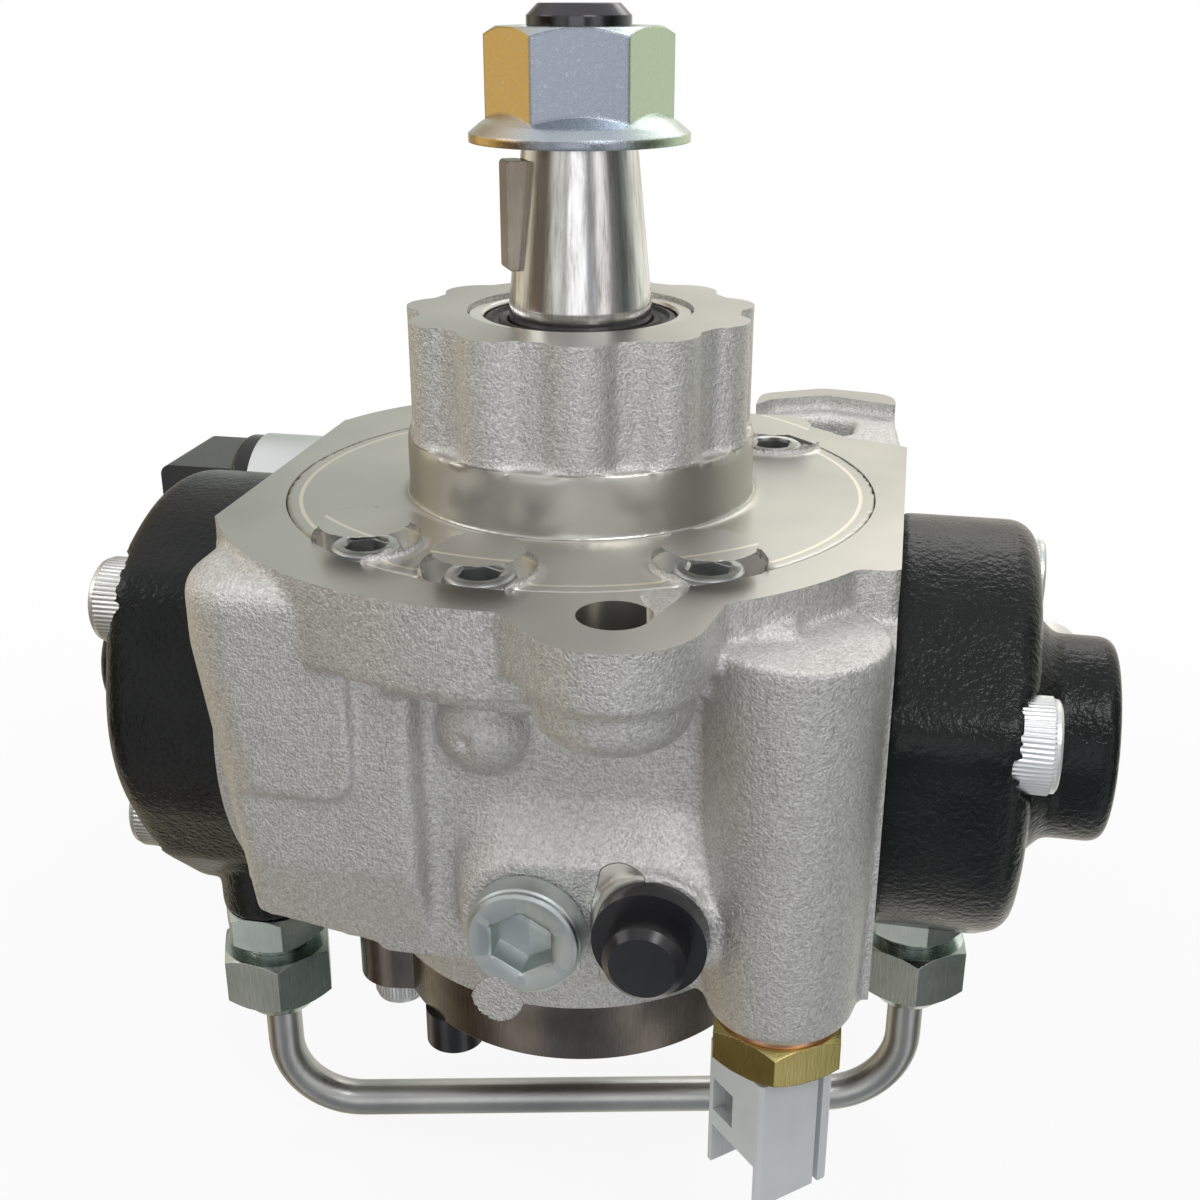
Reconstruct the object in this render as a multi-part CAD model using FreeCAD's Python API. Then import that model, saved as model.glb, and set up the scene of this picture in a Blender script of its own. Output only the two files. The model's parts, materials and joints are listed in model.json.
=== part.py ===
import FreeCAD, Part
import math
import os

# Two-plunger diesel injection pump, in millimetres.
# The origin is on the shaft axis in the plane of the mounting flange.
# +Z points to the shaft's nut, X runs along the plungers, and -Y is the front with the plug and the sensor.

Vec = FreeCAD.Vector
ORIGIN = Vec(0, 0, 0)
X_AXIS = Vec(1, 0, 0)
Y_AXIS = Vec(0, 1, 0)
Z_AXIS = Vec(0, 0, 1)

# Clearances
RUNNING_GAP = 0.04
SEAT_GAP = 0.05
FREE_GAP = 0.3
HAIR = 0.02

# Cam ring and chamber; the plungers' axis sets their height
PLUNGER_Z = -34.0
RING_HALF_WIDTH = 20.0
RING_HEIGHT = 22.0
RING_CORNER_R = 8.0
BUSH_WALL = 1.5
WASHER_THICKNESS = 2.4
WASHER_R = 19.6
RING_TOP = PLUNGER_Z + RING_HEIGHT / 2
RING_BOTTOM = PLUNGER_Z - RING_HEIGHT / 2
CHAMBER_FLOOR = RING_BOTTOM - WASHER_THICKNESS - 2 * FREE_GAP

# Front cover with its pilot collar and fluted hub
COVER_SPIGOT_R = 30.0
COVER_SPIGOT_DEPTH = -(RING_TOP + FREE_GAP + WASHER_THICKNESS + 2 * SEAT_GAP)
COVER_DISC_DEPTH = 12.0
COVER_SEAL_DROP = 5.0
COVER_SEAL_Z = -(COVER_DISC_DEPTH + COVER_SEAL_DROP)
COVER_SEAL_CORD_R = 0.95
COVER_SCREW_MARGIN = 7.8
COVER_SCREW_RADIUS = COVER_SPIGOT_R + COVER_SCREW_MARGIN
COVER_RIM_WIDTH = 4.9
COVER_R = COVER_SCREW_RADIUS + COVER_RIM_WIDTH
COVER_SCREW_ANGLES = (47.4, 127.4, 233.4, 262.4, 307.4)
COVER_POCKET_R = 7.0
COVER_POCKET_DEPTH = 6.0
COVER_THREAD_DEPTH = 8.0
COVER_THREAD_BOSS_R = 5.5
CHAMBER_R = COVER_SPIGOT_R - 1.8
PILOT_R = 25.0
PILOT_HEIGHT = 9.0
HUB_TOP = 26.0
HUB_VALLEY_R = 22.6
HUB_LOBE_R = 5.2
HUB_LOBE_CENTRE_R = 19.8
HUB_LOBES = 11
HUB_PHASE = 19.8

# Mounting flange
FLANGE_RIM_WIDTH = 6.8
FLANGE_R = COVER_R + FLANGE_RIM_WIDTH
FLANGE_THICKNESS = COVER_DISC_DEPTH
FLANGE_FRONT_SWELL = (-4.0, -2.0, 47.9)
FLANGE_BACK_SWELL = (-14.0, 14.0, 35.2)
SHOULDER_R = FLANGE_R - 3.5
SHOULDER_BOTTOM = -15.5
MOUNT_RADIUS = FLANGE_R + 0.5
MOUNT_HOLE_D = 9.0
MOUNT_ANGLES = (286.4, 106.4)
EAR_R = 11.3
EAR_ROOT_R = 22.0
EAR_THICKNESS = 8.0
EAR_BOSS_R = 10.0
EAR_BOSS_BOTTOM = -15.3

# Screws: shank radius, head radius, head height, socket across flats
M6 = (3.0, 4.9, 6.0, 5.0)
M8 = (4.0, 6.5, 8.0, 6.0)
M5 = (2.5, 4.2, 5.0, 4.0)

# Drive shaft
JOURNAL_R = 10.0
TAPER_START = 27.0
TAPER_END = 48.5
TAPER_SMALL_R = 7.9
THREAD_R = 7.0
SHAFT_TOP = 66.0
REAR_JOURNAL_R = 9.0
ECCENTRICITY = 2.9
ECCENTRIC_R = 14.0
DRIVE_R = REAR_JOURNAL_R - 2.0
DRIVE_FLAT = REAR_JOURNAL_R - 3.2
DRIVE_LENGTH = 9.4
KEY_WIDTH = 4.0
KEY_ANGLE = 208.4
KEY_BOTTOM = 32.0
KEY_TOP = 46.5
KEY_INNER_R = 5.5
KEY_OUTER_R = 10.8
NUT_AF = 22.0
NUT_TURN = 12.2
NUT_FLANGE_R = 15.0
NUT_FLANGE_THICKNESS = 3.0
NUT_HEIGHT = 14.5

# Front bearing and seal
BEARING_R = 13.0
BEARING_START = -16.0
BEARING_END = 14.0
SEAL_R = 16.0
SEAL_START = 19.5
SEAL_END = 25.6

# Feed pump
BODY_REAR = -69.6
FEED_FLOOR = -60.0
FEED_PITCH_R = 14.5
FEED_LOBE_R = 4.0
FEED_OFFSET = 1.6
FEED_OUTER_LOBES = 7
FEED_TIP_GAP = 0.08
FEED_OUTER_R = FEED_PITCH_R + 3.5
FEED_HOUSING_R = FEED_OUTER_R + 7.0
FEED_SCREW_RADIUS = FEED_HOUSING_R + 5.5
FEED_SCREW_ANGLES = (203.0, 98.4, 348.4)
FEED_LUG_R = 6.2
FEED_COVER_R = FEED_HOUSING_R + 4.6
FEED_COVER_THICKNESS = 10.0
FEED_SEAL_THICKNESS = 0.6
FEED_COVER_TOP = BODY_REAR - FEED_SEAL_THICKNESS
FEED_COVER_BOTTOM = FEED_COVER_TOP - FEED_COVER_THICKNESS
FEED_THREAD_DEPTH = 7.0
REAR_BUSH_R = 11.0

# Body casting
SIDE_FACE_X = 46.8
BLOCK_BOTTOM = -58.0
BLOCK_TOP = -1.5
BLOCK_BACK_Y = 40.0
BLOCK_FRONT_Y = -42.5
PAD_FRONT_Y = -44.0
PAD_RIGHT_X = -21.5
PAD_BOTTOM = -31.7
BLOCK_LEFT_X = -45.6
BLOCK_LEFT_LEAN = 6.8
LEAN_START = -12.0
WAIST_LEFT_X = -13.0
WAIST_Y = -39.0
LEDGE_Z = -43.0
RIGHT_FRONT_Y = -27.0
CASING_R = 38.0
CASING_LOWER_R = FEED_HOUSING_R + 6.5
SIDE_PIPE_R = 31.5
FACE_BACK_Y = 30.0
LUG_FLOOR = -2.5
LUG_HOLE_DEPTH = 9.0

# Sensor tower
TOWER_X = 35.0
TOWER_Y = -37.0
TOWER_R = 10.2
TOWER_TOP_R = 11.4
TOWER_TOP = -5.3
TOWER_BOTTOM = -60.0
SENSOR_AF = 17.0
SENSOR_TURN = 33.0
SENSOR_THREAD_R = 6.0
SENSOR_NECK_R = 6.6
SOCKET_TOP = TOWER_BOTTOM - 7.0
SOCKET_BOTTOM = TOWER_BOTTOM - 27.5
SOCKET_TURN = 42.0
SOCKET_SHIFT = Vec(-0.6, -0.4, 0)
SOCKET_HALF_U = 6.2
SOCKET_HALF_V = 6.1
SOCKET_WALL = 1.4

# Heads
HEAD_THICKNESS = 19.2
HEAD_OUTER_X = SIDE_FACE_X + HEAD_THICKNESS
HEAD_R = 29.5
HEAD_CROWN_R = 31.2
HEAD_LOBE_R = 7.9
HEAD_RIM_R = 4.0
HEAD_BOLTS = ((17.7, 17.4), (-24.6, 10.4), (14.3, -19.3))
HEAD_KEEL = (4.0, -29.0, 8.0)
HEAD_BOLT_SINK = 5.5
HEAD_BOLT_THREAD = 7.6
HEAD_SPIGOT_R = 16.0
HEAD_SPIGOT_START = SIDE_FACE_X - 7.0
HEAD_SEAL_R = 18.3
HEAD_SEAL_DEPTH = 2.2
BARREL_R = 7.0
BARREL_START = HEAD_SPIGOT_START - 6.3
PLUNGER_R = 4.25
PLUNGER_END = SIDE_FACE_X + 7.0
PLUNGER_BORE_END = PLUNGER_END + 3.0
VALVE_CHAMBER_R = 6.0
VALVE_CHAMBER_END = PLUNGER_BORE_END + 10.0
RIGHT_BOSS = (15.0, 78.5)
LEFT_BOSS = (10.0, 77.0)
TAPPET_FACE = RING_HALF_WIDTH + ECCENTRICITY + SEAT_GAP
TAPPET_R = 12.4
TAPPET_LENGTH = 14.0
TAPPET_FLOOR = 4.0
TAPPET_WALL = 1.8
SPRING_WIRE_R = 1.1
SPRING_R = 9.1
SPRING_TURNS = 4.0

# Union fittings and transfer pipe: X, Y and nut turn, the left one as if on the right
RIGHT_UNION = (53.9, 15.5, 36.9)
LEFT_UNION = (51.5, 7.5, 52.3)
UNION_BOSS_R = 8.0
UNION_BOSS_BOTTOM = -73.0
UNION_BOSS_LENGTH = 14.0
UNION_THREAD_R = 5.0
UNION_THREAD_LENGTH = 7.5
UNION_NOSE_R = 5.6
PASSAGE_R = 1.3
PASSAGE_TOP = PLUNGER_Z - 12.0
BALL_R = 2.2
BALL_SEAT_Z = -58.5
UNION_AF = 15.0
UNION_HEX_BOTTOM = -79.0
UNION_NUT_TOP = -81.0
UNION_NUT_BOTTOM = -93.0
UNION_NUT_AF = 17.0
PIPE_R = 3.0
PIPE_RUN_Z = -115.0
PIPE_BEND_R = 13.0

# Plug and regulating valve
PLUG_X = 2.1
PLUG_Z = -47.1
PLUG_R = 7.8
PLUG_FACE_Y = -48.5
PLUG_SEAT_Y = -44.0
PLUG_THREAD_R = 6.0
PLUG_THREAD_END = -38.0
PLUG_SOCKET_AF = 8.0
PLUG_HOLLOW_R = 3.4
PLUG_HOLLOW_DEPTH = 4.0
REGULATOR_BORE_R = 4.5
REGULATOR_END_Y = -30.0
REGULATOR_PISTON_LENGTH = 4.0

# Inlet cap
CAP_X = 18.8
CAP_Z = -45.2
CAP_R = 7.5
CAP_KNOB_R = 5.3
CAP_FACE_Y = -48.0
CAP_KNOB_Y = -53.0
CAP_SEAT_Y = -45.0
CAP_STEM_R = 5.0
CAP_STEM_END_Y = -36.0
FRONT_BOSS_END_Y = -30.0

# Metering valve behind the left head
METER_Y = 45.5
METER_Z = -20.0
METER_R = 11.0
METER_INNER_X = -44.0
METER_OUTER_X = -74.0
METER_CAN_LENGTH = 22.0
METER_CAP_LENGTH = 4.0
METER_BORE_R = 6.5
METER_TIP_X = -28.0
NEEDLE_R = 3.0
NEEDLE_START = 30.0
NEEDLE_END = 50.0
NEEDLE_BORE_END = 60.0

# Rail outlet and fuel return
OUTLET_X = 72.6
OUTLET_Z = PLUNGER_Z - 4.0
OUTLET_BORE_Y = 4.0
OUTLET_SEAT_Y = 19.2
OUTLET_HEX_AF = 13.0
OUTLET_THREAD_Y = 30.0
OUTLET_NECK_R = 5.2
OUTLET_END_Y = 40.2
OUTLET_R = 6.0
OUTLET_ROOT_R = 4.9
OUTLET_BORE_R = 1.5
RETURN_X = -16.5
RETURN_Y = -20.0
RETURN_R = 4.5
RETURN_LENGTH = 6.0


def rod(radius, start, end, x=0.0, y=0.0):
    """Upright cylinder between two heights."""
    return Part.makeCylinder(radius, end - start, Vec(x, y, start))


def rod_x(radius, start, end, y=0.0, z=0.0):
    """Cylinder along X."""
    return Part.makeCylinder(radius, end - start, Vec(start, y, z), X_AXIS)


def rod_y(radius, start, end, x=0.0, z=0.0):
    """Cylinder along Y."""
    return Part.makeCylinder(radius, end - start, Vec(x, start, z), Y_AXIS)


def ring(outer, inner, start, end, x=0.0, y=0.0):
    """Upright tube between two heights."""
    return rod(outer, start, end, x, y).cut(rod(inner, start, end, x, y))


def turned(profile, x=0.0, y=0.0):
    """Solid of revolution about an upright axis, from (radius, height) points."""
    points = [Vec(x + radius, y, height) for radius, height in profile]
    face = Part.Face(Part.makePolygon(points + [points[0]]))
    return face.revolve(Vec(x, y, 0), Z_AXIS, 360)


def aim_x(shape, y=0.0, z=0.0):
    """Turn a shape built upright on the origin so that its top points to +X."""
    shape.rotate(ORIGIN, Y_AXIS, 90)
    shape.translate(Vec(0, y, z))
    return shape


def aim_front(shape, x=0.0, z=0.0):
    """Turn a shape built upright on the origin so that its top points to -Y."""
    shape.rotate(ORIGIN, X_AXIS, 90)
    shape.translate(Vec(x, 0, z))
    return shape


def aim_back(shape, x=0.0, z=0.0):
    """Turn a shape built upright on the origin so that its top points to +Y."""
    shape.rotate(ORIGIN, X_AXIS, -90)
    shape.translate(Vec(x, 0, z))
    return shape


def polar(radius, angle):
    """X and Y of a point at an angle in degrees."""
    turn = math.radians(angle)
    return radius * math.cos(turn), radius * math.sin(turn)


def hexagon(across_flats, start, end, x=0.0, y=0.0, turn=0.0):
    """Upright hexagonal prism."""
    radius = across_flats / 2 / math.cos(math.radians(30))
    points = []
    for step in range(7):
        px, py = polar(radius, turn + 60 * step)
        points.append(Vec(x + px, y + py, start))
    return Part.Face(Part.makePolygon(points)).extrude(Vec(0, 0, end - start))


def dressed_hexagon(across_flats, start, end, x=0.0, y=0.0, turn=0.0):
    """Hexagonal prism with turned corners at both ends."""
    corner = across_flats / 2 / math.cos(math.radians(30))
    drop = (corner - across_flats / 2) * 0.6
    flat = across_flats / 2 * 1.01
    outline = [(0, start), (flat, start), (corner, start + drop), (corner, end - drop), (flat, end), (0, end)]
    return hexagon(across_flats, start, end, x, y, turn).common(turned(outline, x, y))


def belt(circles):
    """Outline round circles (x, y, radius) listed anticlockwise, as tangent lines and arcs."""
    count = len(circles)
    angles = []
    for index in range(count):
        x1, y1, r1 = circles[index]
        x2, y2, r2 = circles[(index + 1) % count]
        run = math.hypot(x2 - x1, y2 - y1)
        angles.append(math.atan2(y2 - y1, x2 - x1) - math.acos((r1 - r2) / run))
    edges = []
    for index in range(count):
        x1, y1, r1 = circles[index]
        x2, y2, r2 = circles[(index + 1) % count]
        before = angles[index - 1]
        after = before + (angles[index] - before) % (2 * math.pi)
        middle = (before + after) / 2
        spots = [Vec(x1 + r1 * math.cos(a), y1 + r1 * math.sin(a), 0) for a in (before, middle, after)]
        edges.append(Part.Arc(*spots).toShape())
        landing = Vec(x2 + r2 * math.cos(after), y2 + r2 * math.sin(after), 0)
        edges.append(Part.LineSegment(spots[2], landing).toShape())
    return Part.Wire(edges)


def slab(wire, start, end):
    """Upright prism of a flat outline."""
    solid = Part.Face(wire).extrude(Vec(0, 0, end - start))
    solid.translate(Vec(0, 0, start))
    return solid


def rounded_outline(corners):
    """Closed outline of (x, y, corner radius) points with a fillet arc at each corner."""
    count = len(corners)
    starts = []
    arcs = []
    for index in range(count):
        x0, y0, _ = corners[index - 1]
        x1, y1, radius = corners[index]
        x2, y2, _ = corners[(index + 1) % count]
        back = Vec(x0 - x1, y0 - y1, 0).normalize()
        ahead = Vec(x2 - x1, y2 - y1, 0).normalize()
        half = back.getAngle(ahead) / 2
        reach = radius / math.tan(half)
        corner = Vec(x1, y1, 0)
        bisector = (back + ahead).normalize()
        centre = corner + bisector * (radius / math.sin(half))
        first = corner + back * reach
        last = corner + ahead * reach
        starts.append((first, last))
        arcs.append(Part.Arc(first, centre - bisector * radius, last).toShape())
    edges = []
    for index in range(count):
        edges.append(arcs[index])
        edges.append(Part.LineSegment(starts[index][1], starts[(index + 1) % count][0]).toShape())
    return Part.Wire(edges)


def fuse_all(shapes):
    """One solid from overlapping ones."""
    return shapes[0].multiFuse(shapes[1:])


def rounded(shape, radius, chosen):
    """Fillet the edges that the chosen test picks."""
    edges = [edge for edge in shape.Edges if chosen(edge)]
    return shape.makeFillet(radius, edges)


def socket_screw(size, length, depth=0.6):
    """Socket screw standing on the origin, shank down and socket up."""
    shank_r, head_r, head_height, socket = size
    rim = 0.5
    profile = [(0, 0), (head_r, 0), (head_r, head_height - rim), (head_r - rim, head_height), (0, head_height)]
    head = turned(profile)
    shank = rod(shank_r, -length, 0.5)
    pocket = hexagon(socket, head_height * (1 - depth), head_height + 1)
    return head.fuse(shank).cut(pocket)


def helical_spring(radius, wire_r, start, end, turns, sides=6):
    """Compression spring between two heights, its wire a many-sided bar."""
    rise = end - start - 2 * wire_r
    path = Part.makeHelix(rise / turns, rise, radius)
    corners = []
    for step in range(sides + 1):
        out, up = polar(wire_r, 360.0 * (step + 0.5) / sides)
        corners.append(Vec(radius + out, 0, up))
    coil = Part.Wire(path).makePipeShell([Part.makePolygon(corners)], True, True)
    coil.translate(Vec(0, 0, start + wire_r))
    return coil


def cord_seal(radius, cord_r, height):
    """Sealing ring about the upright axis, its cord a many-sided bar."""
    profile = []
    for step in range(8):
        out, up = polar(cord_r, 22.5 + 45.0 * step)
        profile.append((radius + out, height + up))
    return turned(profile)


def half_turn(shape):
    """Copy of a right-hand piece turned to the left-hand side."""
    copy = shape.copy()
    copy.rotate(ORIGIN, Z_AXIS, 180)
    return copy


def head_bolt_places():
    """Y and Z of the right head's bolts."""
    return [(y, PLUNGER_Z + up) for y, up in HEAD_BOLTS]


def eccentric_centre():
    """The eccentric points to the back at rest, so both plungers are at mid stroke."""
    return 0.0, ECCENTRICITY


def cover_screw_places():
    """X and Y of the front cover's screws."""
    return [polar(COVER_SCREW_RADIUS, angle) for angle in COVER_SCREW_ANGLES]


def feed_screw_places():
    """X and Y of the rear cover's screws."""
    return [polar(FEED_SCREW_RADIUS, angle) for angle in FEED_SCREW_ANGLES]


def flange_plate():
    """Mounting flange with its swellings, ears, shoulder and the lug at the back right."""
    pieces = [rod(FLANGE_R, -FLANGE_THICKNESS, 0)]
    for x, y, radius in (FLANGE_FRONT_SWELL, FLANGE_BACK_SWELL):
        pieces.append(rod(radius, -FLANGE_THICKNESS, 0, x, y))
    pieces.append(rod(SHOULDER_R, SHOULDER_BOTTOM, -FLANGE_THICKNESS / 2))
    right_side = rounded_outline([(20, RIGHT_FRONT_Y, 1), (SIDE_FACE_X, RIGHT_FRONT_Y, 1.5),
                                  (SIDE_FACE_X, FACE_BACK_Y, 1), (20, FACE_BACK_Y, 1)])
    pieces.append(slab(right_side, -20, 0))
    lug = rounded_outline([(20, FACE_BACK_Y - 2, 2), (SIDE_FACE_X, FACE_BACK_Y - 1, 2),
                           (44, 63, 5), (31.5, 65.5, 4), (20.5, 59.5, 4)])
    pieces.append(slab(lug, -FLANGE_THICKNESS, 0))
    plate = fuse_all(pieces)
    width = 2 * SIDE_FACE_X
    plate = plate.common(Part.makeBox(width, 160, 60, Vec(-SIDE_FACE_X, -80, -40)))
    ears = []
    for angle in MOUNT_ANGLES:
        ear_x, ear_y = polar(MOUNT_RADIUS, angle)
        root_x, root_y = polar(MOUNT_RADIUS / 2, angle)
        ears.append(slab(belt([(ear_x, ear_y, EAR_R), (root_x, root_y, EAR_ROOT_R)]), -EAR_THICKNESS, 0))
        boss = rod(EAR_BOSS_R, EAR_BOSS_BOTTOM, -EAR_THICKNESS / 2, ear_x, ear_y)
        ears.append(rounded(boss, 4.5, lambda edge: edge.BoundBox.ZMax < EAR_BOSS_BOTTOM + 0.1))
    return fuse_all([plate] + ears)


def lug_recess():
    """Recessed floor of the back right lug and the deeper hole in it."""
    floor = rounded_outline([
        (18, 46, 2), (31, 36, 1), (53, 27, 1), (52, 52.5, 1), (43, 56.3, 2), (32, 60.5, 3), (22.5, 55.5, 3)])
    hole = rounded_outline([(28, 44, 3), (37, 43, 3), (38, 53, 3), (29, 55, 3)])
    recess = slab(floor, LUG_FLOOR, 1).fuse(slab(hole, -LUG_HOLE_DEPTH, 1))
    return recess.cut(rod(FLANGE_R + 0.2, -20, 2))


def left_block():
    """Front left block: raised pad, rounded top, leaning side and a face that falls back below the ledge."""
    def outline(left, height):
        wire = rounded_outline([(left, PAD_FRONT_Y, 9), (WAIST_LEFT_X, PAD_FRONT_Y, 5),
                                (WAIST_LEFT_X, 0, 5), (left, 0, 5)])
        wire.translate(Vec(0, 0, height))
        return wire
    crown = Part.Face(outline(BLOCK_LEFT_X, LEAN_START)).extrude(Vec(0, 0, BLOCK_TOP - LEAN_START))
    crown = rounded(crown, 4, lambda edge: edge.BoundBox.ZMin > BLOCK_TOP - 0.1)
    upper = outline(BLOCK_LEFT_X, LEAN_START)
    lower = outline(BLOCK_LEFT_X + BLOCK_LEFT_LEAN, BLOCK_BOTTOM)
    block = crown.fuse(Part.makeLoft([upper, lower], True, True))
    pad = rounded_outline([(BLOCK_LEFT_X, 5, 1), (BLOCK_LEFT_X, PAD_BOTTOM, 9),
                           (PAD_RIGHT_X, PAD_BOTTOM, 4), (PAD_RIGHT_X, 5, 1)])
    shave = Part.makeBox(60, 10, 80, Vec(-60, BLOCK_FRONT_Y - 10, -70))
    shave = shave.cut(aim_front(slab(pad, -BLOCK_FRONT_Y - 1, -BLOCK_FRONT_Y + 11)))
    toe = Part.makePolygon([Vec(-60, -60, LEDGE_Z), Vec(-60, BLOCK_FRONT_Y, LEDGE_Z), Vec(-60, -38.2, -59),
                            Vec(-60, -60, -59), Vec(-60, -60, LEDGE_Z)])
    sole = Part.makePolygon([Vec(-60, -60, -51), Vec(-38, -60, -53.2), Vec(-12, -60, -58.8),
                             Vec(-60, -60, -58.8), Vec(-60, -60, -51)])
    cuts = [shave, Part.Face(toe).extrude(Vec(WAIST_LEFT_X + 61, 0, 0)), Part.Face(sole).extrude(Vec(0, 40, 0))]
    return block.cut(cuts)


def body_blocks():
    """Outer shape of the casting below the flange."""
    outline = rounded_outline([(-SIDE_FACE_X, RIGHT_FRONT_Y, 3), (SIDE_FACE_X, RIGHT_FRONT_Y, 3),
                               (SIDE_FACE_X, BLOCK_BACK_Y, 10), (-SIDE_FACE_X, BLOCK_BACK_Y, 10)])
    block = slab(outline, BLOCK_BOTTOM, -4)
    waist = rounded_outline([(WAIST_LEFT_X - 8, WAIST_Y, 1), (TOWER_X, WAIST_Y, 1),
                             (TOWER_X, 0, 1), (WAIST_LEFT_X - 8, 0, 1)])
    side_pipe = rod_x(SIDE_PIPE_R, -SIDE_FACE_X, SIDE_FACE_X, 0, PLUNGER_Z)
    casing = rod(CASING_R, BLOCK_BOTTOM - 3, -4)
    lower = rod(CASING_LOWER_R, BODY_REAR, -20)
    pieces = [block, slab(waist, BLOCK_BOTTOM, -4), left_block(), side_pipe, casing, lower]
    for x, y in feed_screw_places():
        pieces.append(rod(FEED_LUG_R, BODY_REAR, BLOCK_BOTTOM + 2, x, y))
    boss_end = -COVER_DISC_DEPTH - COVER_THREAD_DEPTH - 3
    for x, y in cover_screw_places():
        pieces.append(rod(COVER_THREAD_BOSS_R, boss_end, -COVER_DISC_DEPTH + 1, x, y))
    return fuse_all(pieces)


def front_bosses():
    """Sensor tower, plug boss, cap boss and the small casting boss on the front."""
    tower = Part.makeCone(TOWER_R, TOWER_TOP_R, TOWER_TOP - TOWER_BOTTOM, Vec(TOWER_X, TOWER_Y, TOWER_BOTTOM))
    tower = rounded(tower, 2.5, lambda edge: edge.BoundBox.ZMax < TOWER_BOTTOM + 0.1)
    web_height = TOWER_TOP - 2 - BLOCK_BOTTOM
    web = Part.makeBox(SIDE_FACE_X - TOWER_X, 18, web_height, Vec(TOWER_X, TOWER_Y, BLOCK_BOTTOM))
    plug_boss = rod_y(PLUG_R + 1.8, PLUG_SEAT_Y, FRONT_BOSS_END_Y, PLUG_X, PLUG_Z)
    cap_boss = rod_y(CAP_R + 1.0, CAP_SEAT_Y, FRONT_BOSS_END_Y, CAP_X, CAP_Z)
    swell = slab(belt([(PLUG_X, PLUG_Z, PLUG_R + 1.8), (CAP_X, CAP_Z, CAP_R + 1.0)]), -FRONT_BOSS_END_Y, -PLUG_SEAT_Y)
    dome = Part.makeSphere(6.6, Vec(-4.6, -37.6, -20.9))
    pad = rod_x(METER_R + 3, METER_INNER_X, -22, METER_Y, METER_Z)
    pad_root = Part.makeBox(22, 14, 22, Vec(METER_INNER_X, BLOCK_BACK_Y - 8, METER_Z - 11))
    return [tower, web, plug_boss, cap_boss, aim_front(swell), dome, pad, pad_root]


def union_room(union):
    """Space for a head's union boss in the body, as if on the right."""
    x, y, _ = union
    return rod(UNION_BOSS_R + FREE_GAP, -90, BLOCK_BOTTOM, x, y)


def pump_body():
    """Cast body with the mounting flange, cam chamber, side bores and feed pump recess."""
    body = fuse_all([flange_plate(), body_blocks()] + front_bosses())
    cuts = [
        rod(COVER_R + SEAT_GAP, -COVER_DISC_DEPTH, 1),
        rod(COVER_SPIGOT_R + SEAT_GAP, -COVER_SPIGOT_DEPTH, -COVER_DISC_DEPTH + 1),
        rod(CHAMBER_R, CHAMBER_FLOOR, -COVER_SPIGOT_DEPTH + 0.1),
        rod(REAR_BUSH_R, FEED_FLOOR - 1, CHAMBER_FLOOR + 1),
        rod(FEED_HOUSING_R + SEAT_GAP, BODY_REAR - 1, FEED_FLOOR),
        rod_x(TAPPET_R + RUNNING_GAP, -HEAD_SPIGOT_START, HEAD_SPIGOT_START, 0, PLUNGER_Z),
        rod_x(HEAD_SEAL_R, SIDE_FACE_X - HEAD_SEAL_DEPTH, SIDE_FACE_X + 1, 0, PLUNGER_Z),
        rod_x(HEAD_SEAL_R, -SIDE_FACE_X - 1, -SIDE_FACE_X + HEAD_SEAL_DEPTH, 0, PLUNGER_Z),
        rod_x(METER_R + 1.8, METER_OUTER_X, METER_INNER_X, METER_Y, METER_Z),
        rod_x(HEAD_SPIGOT_R + SEAT_GAP, HEAD_SPIGOT_START - FREE_GAP, SIDE_FACE_X + 1, 0, PLUNGER_Z),
        rod_x(HEAD_SPIGOT_R + SEAT_GAP, -SIDE_FACE_X - 1, -HEAD_SPIGOT_START + FREE_GAP, 0, PLUNGER_Z),
        union_room(RIGHT_UNION),
        half_turn(union_room(LEFT_UNION)),
        lug_recess(),
        Part.makeSphere(1.3, Vec(-6.2, -44.3, -21.1)),
        rod(SENSOR_THREAD_R + SEAT_GAP, TOWER_BOTTOM - 1, TOWER_BOTTOM + 26, TOWER_X, TOWER_Y),
        rod_y(PLUG_THREAD_R + SEAT_GAP, -60, PLUG_THREAD_END + 0.5, PLUG_X, PLUG_Z),
        rod_y(REGULATOR_BORE_R, -60, REGULATOR_END_Y, PLUG_X, PLUG_Z),
        rod_y(CAP_STEM_R + SEAT_GAP, -60, CAP_STEM_END_Y + 2, CAP_X, CAP_Z),
        rod_x(METER_BORE_R + SEAT_GAP, METER_INNER_X - 1, METER_TIP_X + 2, METER_Y, METER_Z),
    ]
    for angle in MOUNT_ANGLES:
        x, y = polar(MOUNT_RADIUS, angle)
        cuts.append(rod(MOUNT_HOLE_D / 2, EAR_BOSS_BOTTOM - 1, 1, x, y))
    for x, y in cover_screw_places():
        cuts.append(rod(COVER_POCKET_R, -COVER_POCKET_DEPTH, 1, x, y))
        cuts.append(rod(M6[0] + SEAT_GAP, -COVER_DISC_DEPTH - COVER_THREAD_DEPTH - 1, 0, x, y))
    for y, z in head_bolt_places():
        hole = rod_x(M8[0] + SEAT_GAP, SIDE_FACE_X - HEAD_BOLT_THREAD - FREE_GAP, SIDE_FACE_X + 1, y, z)
        cuts.append(hole)
        cuts.append(half_turn(hole))
    for x, y in feed_screw_places():
        cuts.append(rod(M5[0] + SEAT_GAP, BODY_REAR - 1, BODY_REAR + FEED_THREAD_DEPTH + 2, x, y))
    return body.cut(cuts)


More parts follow.
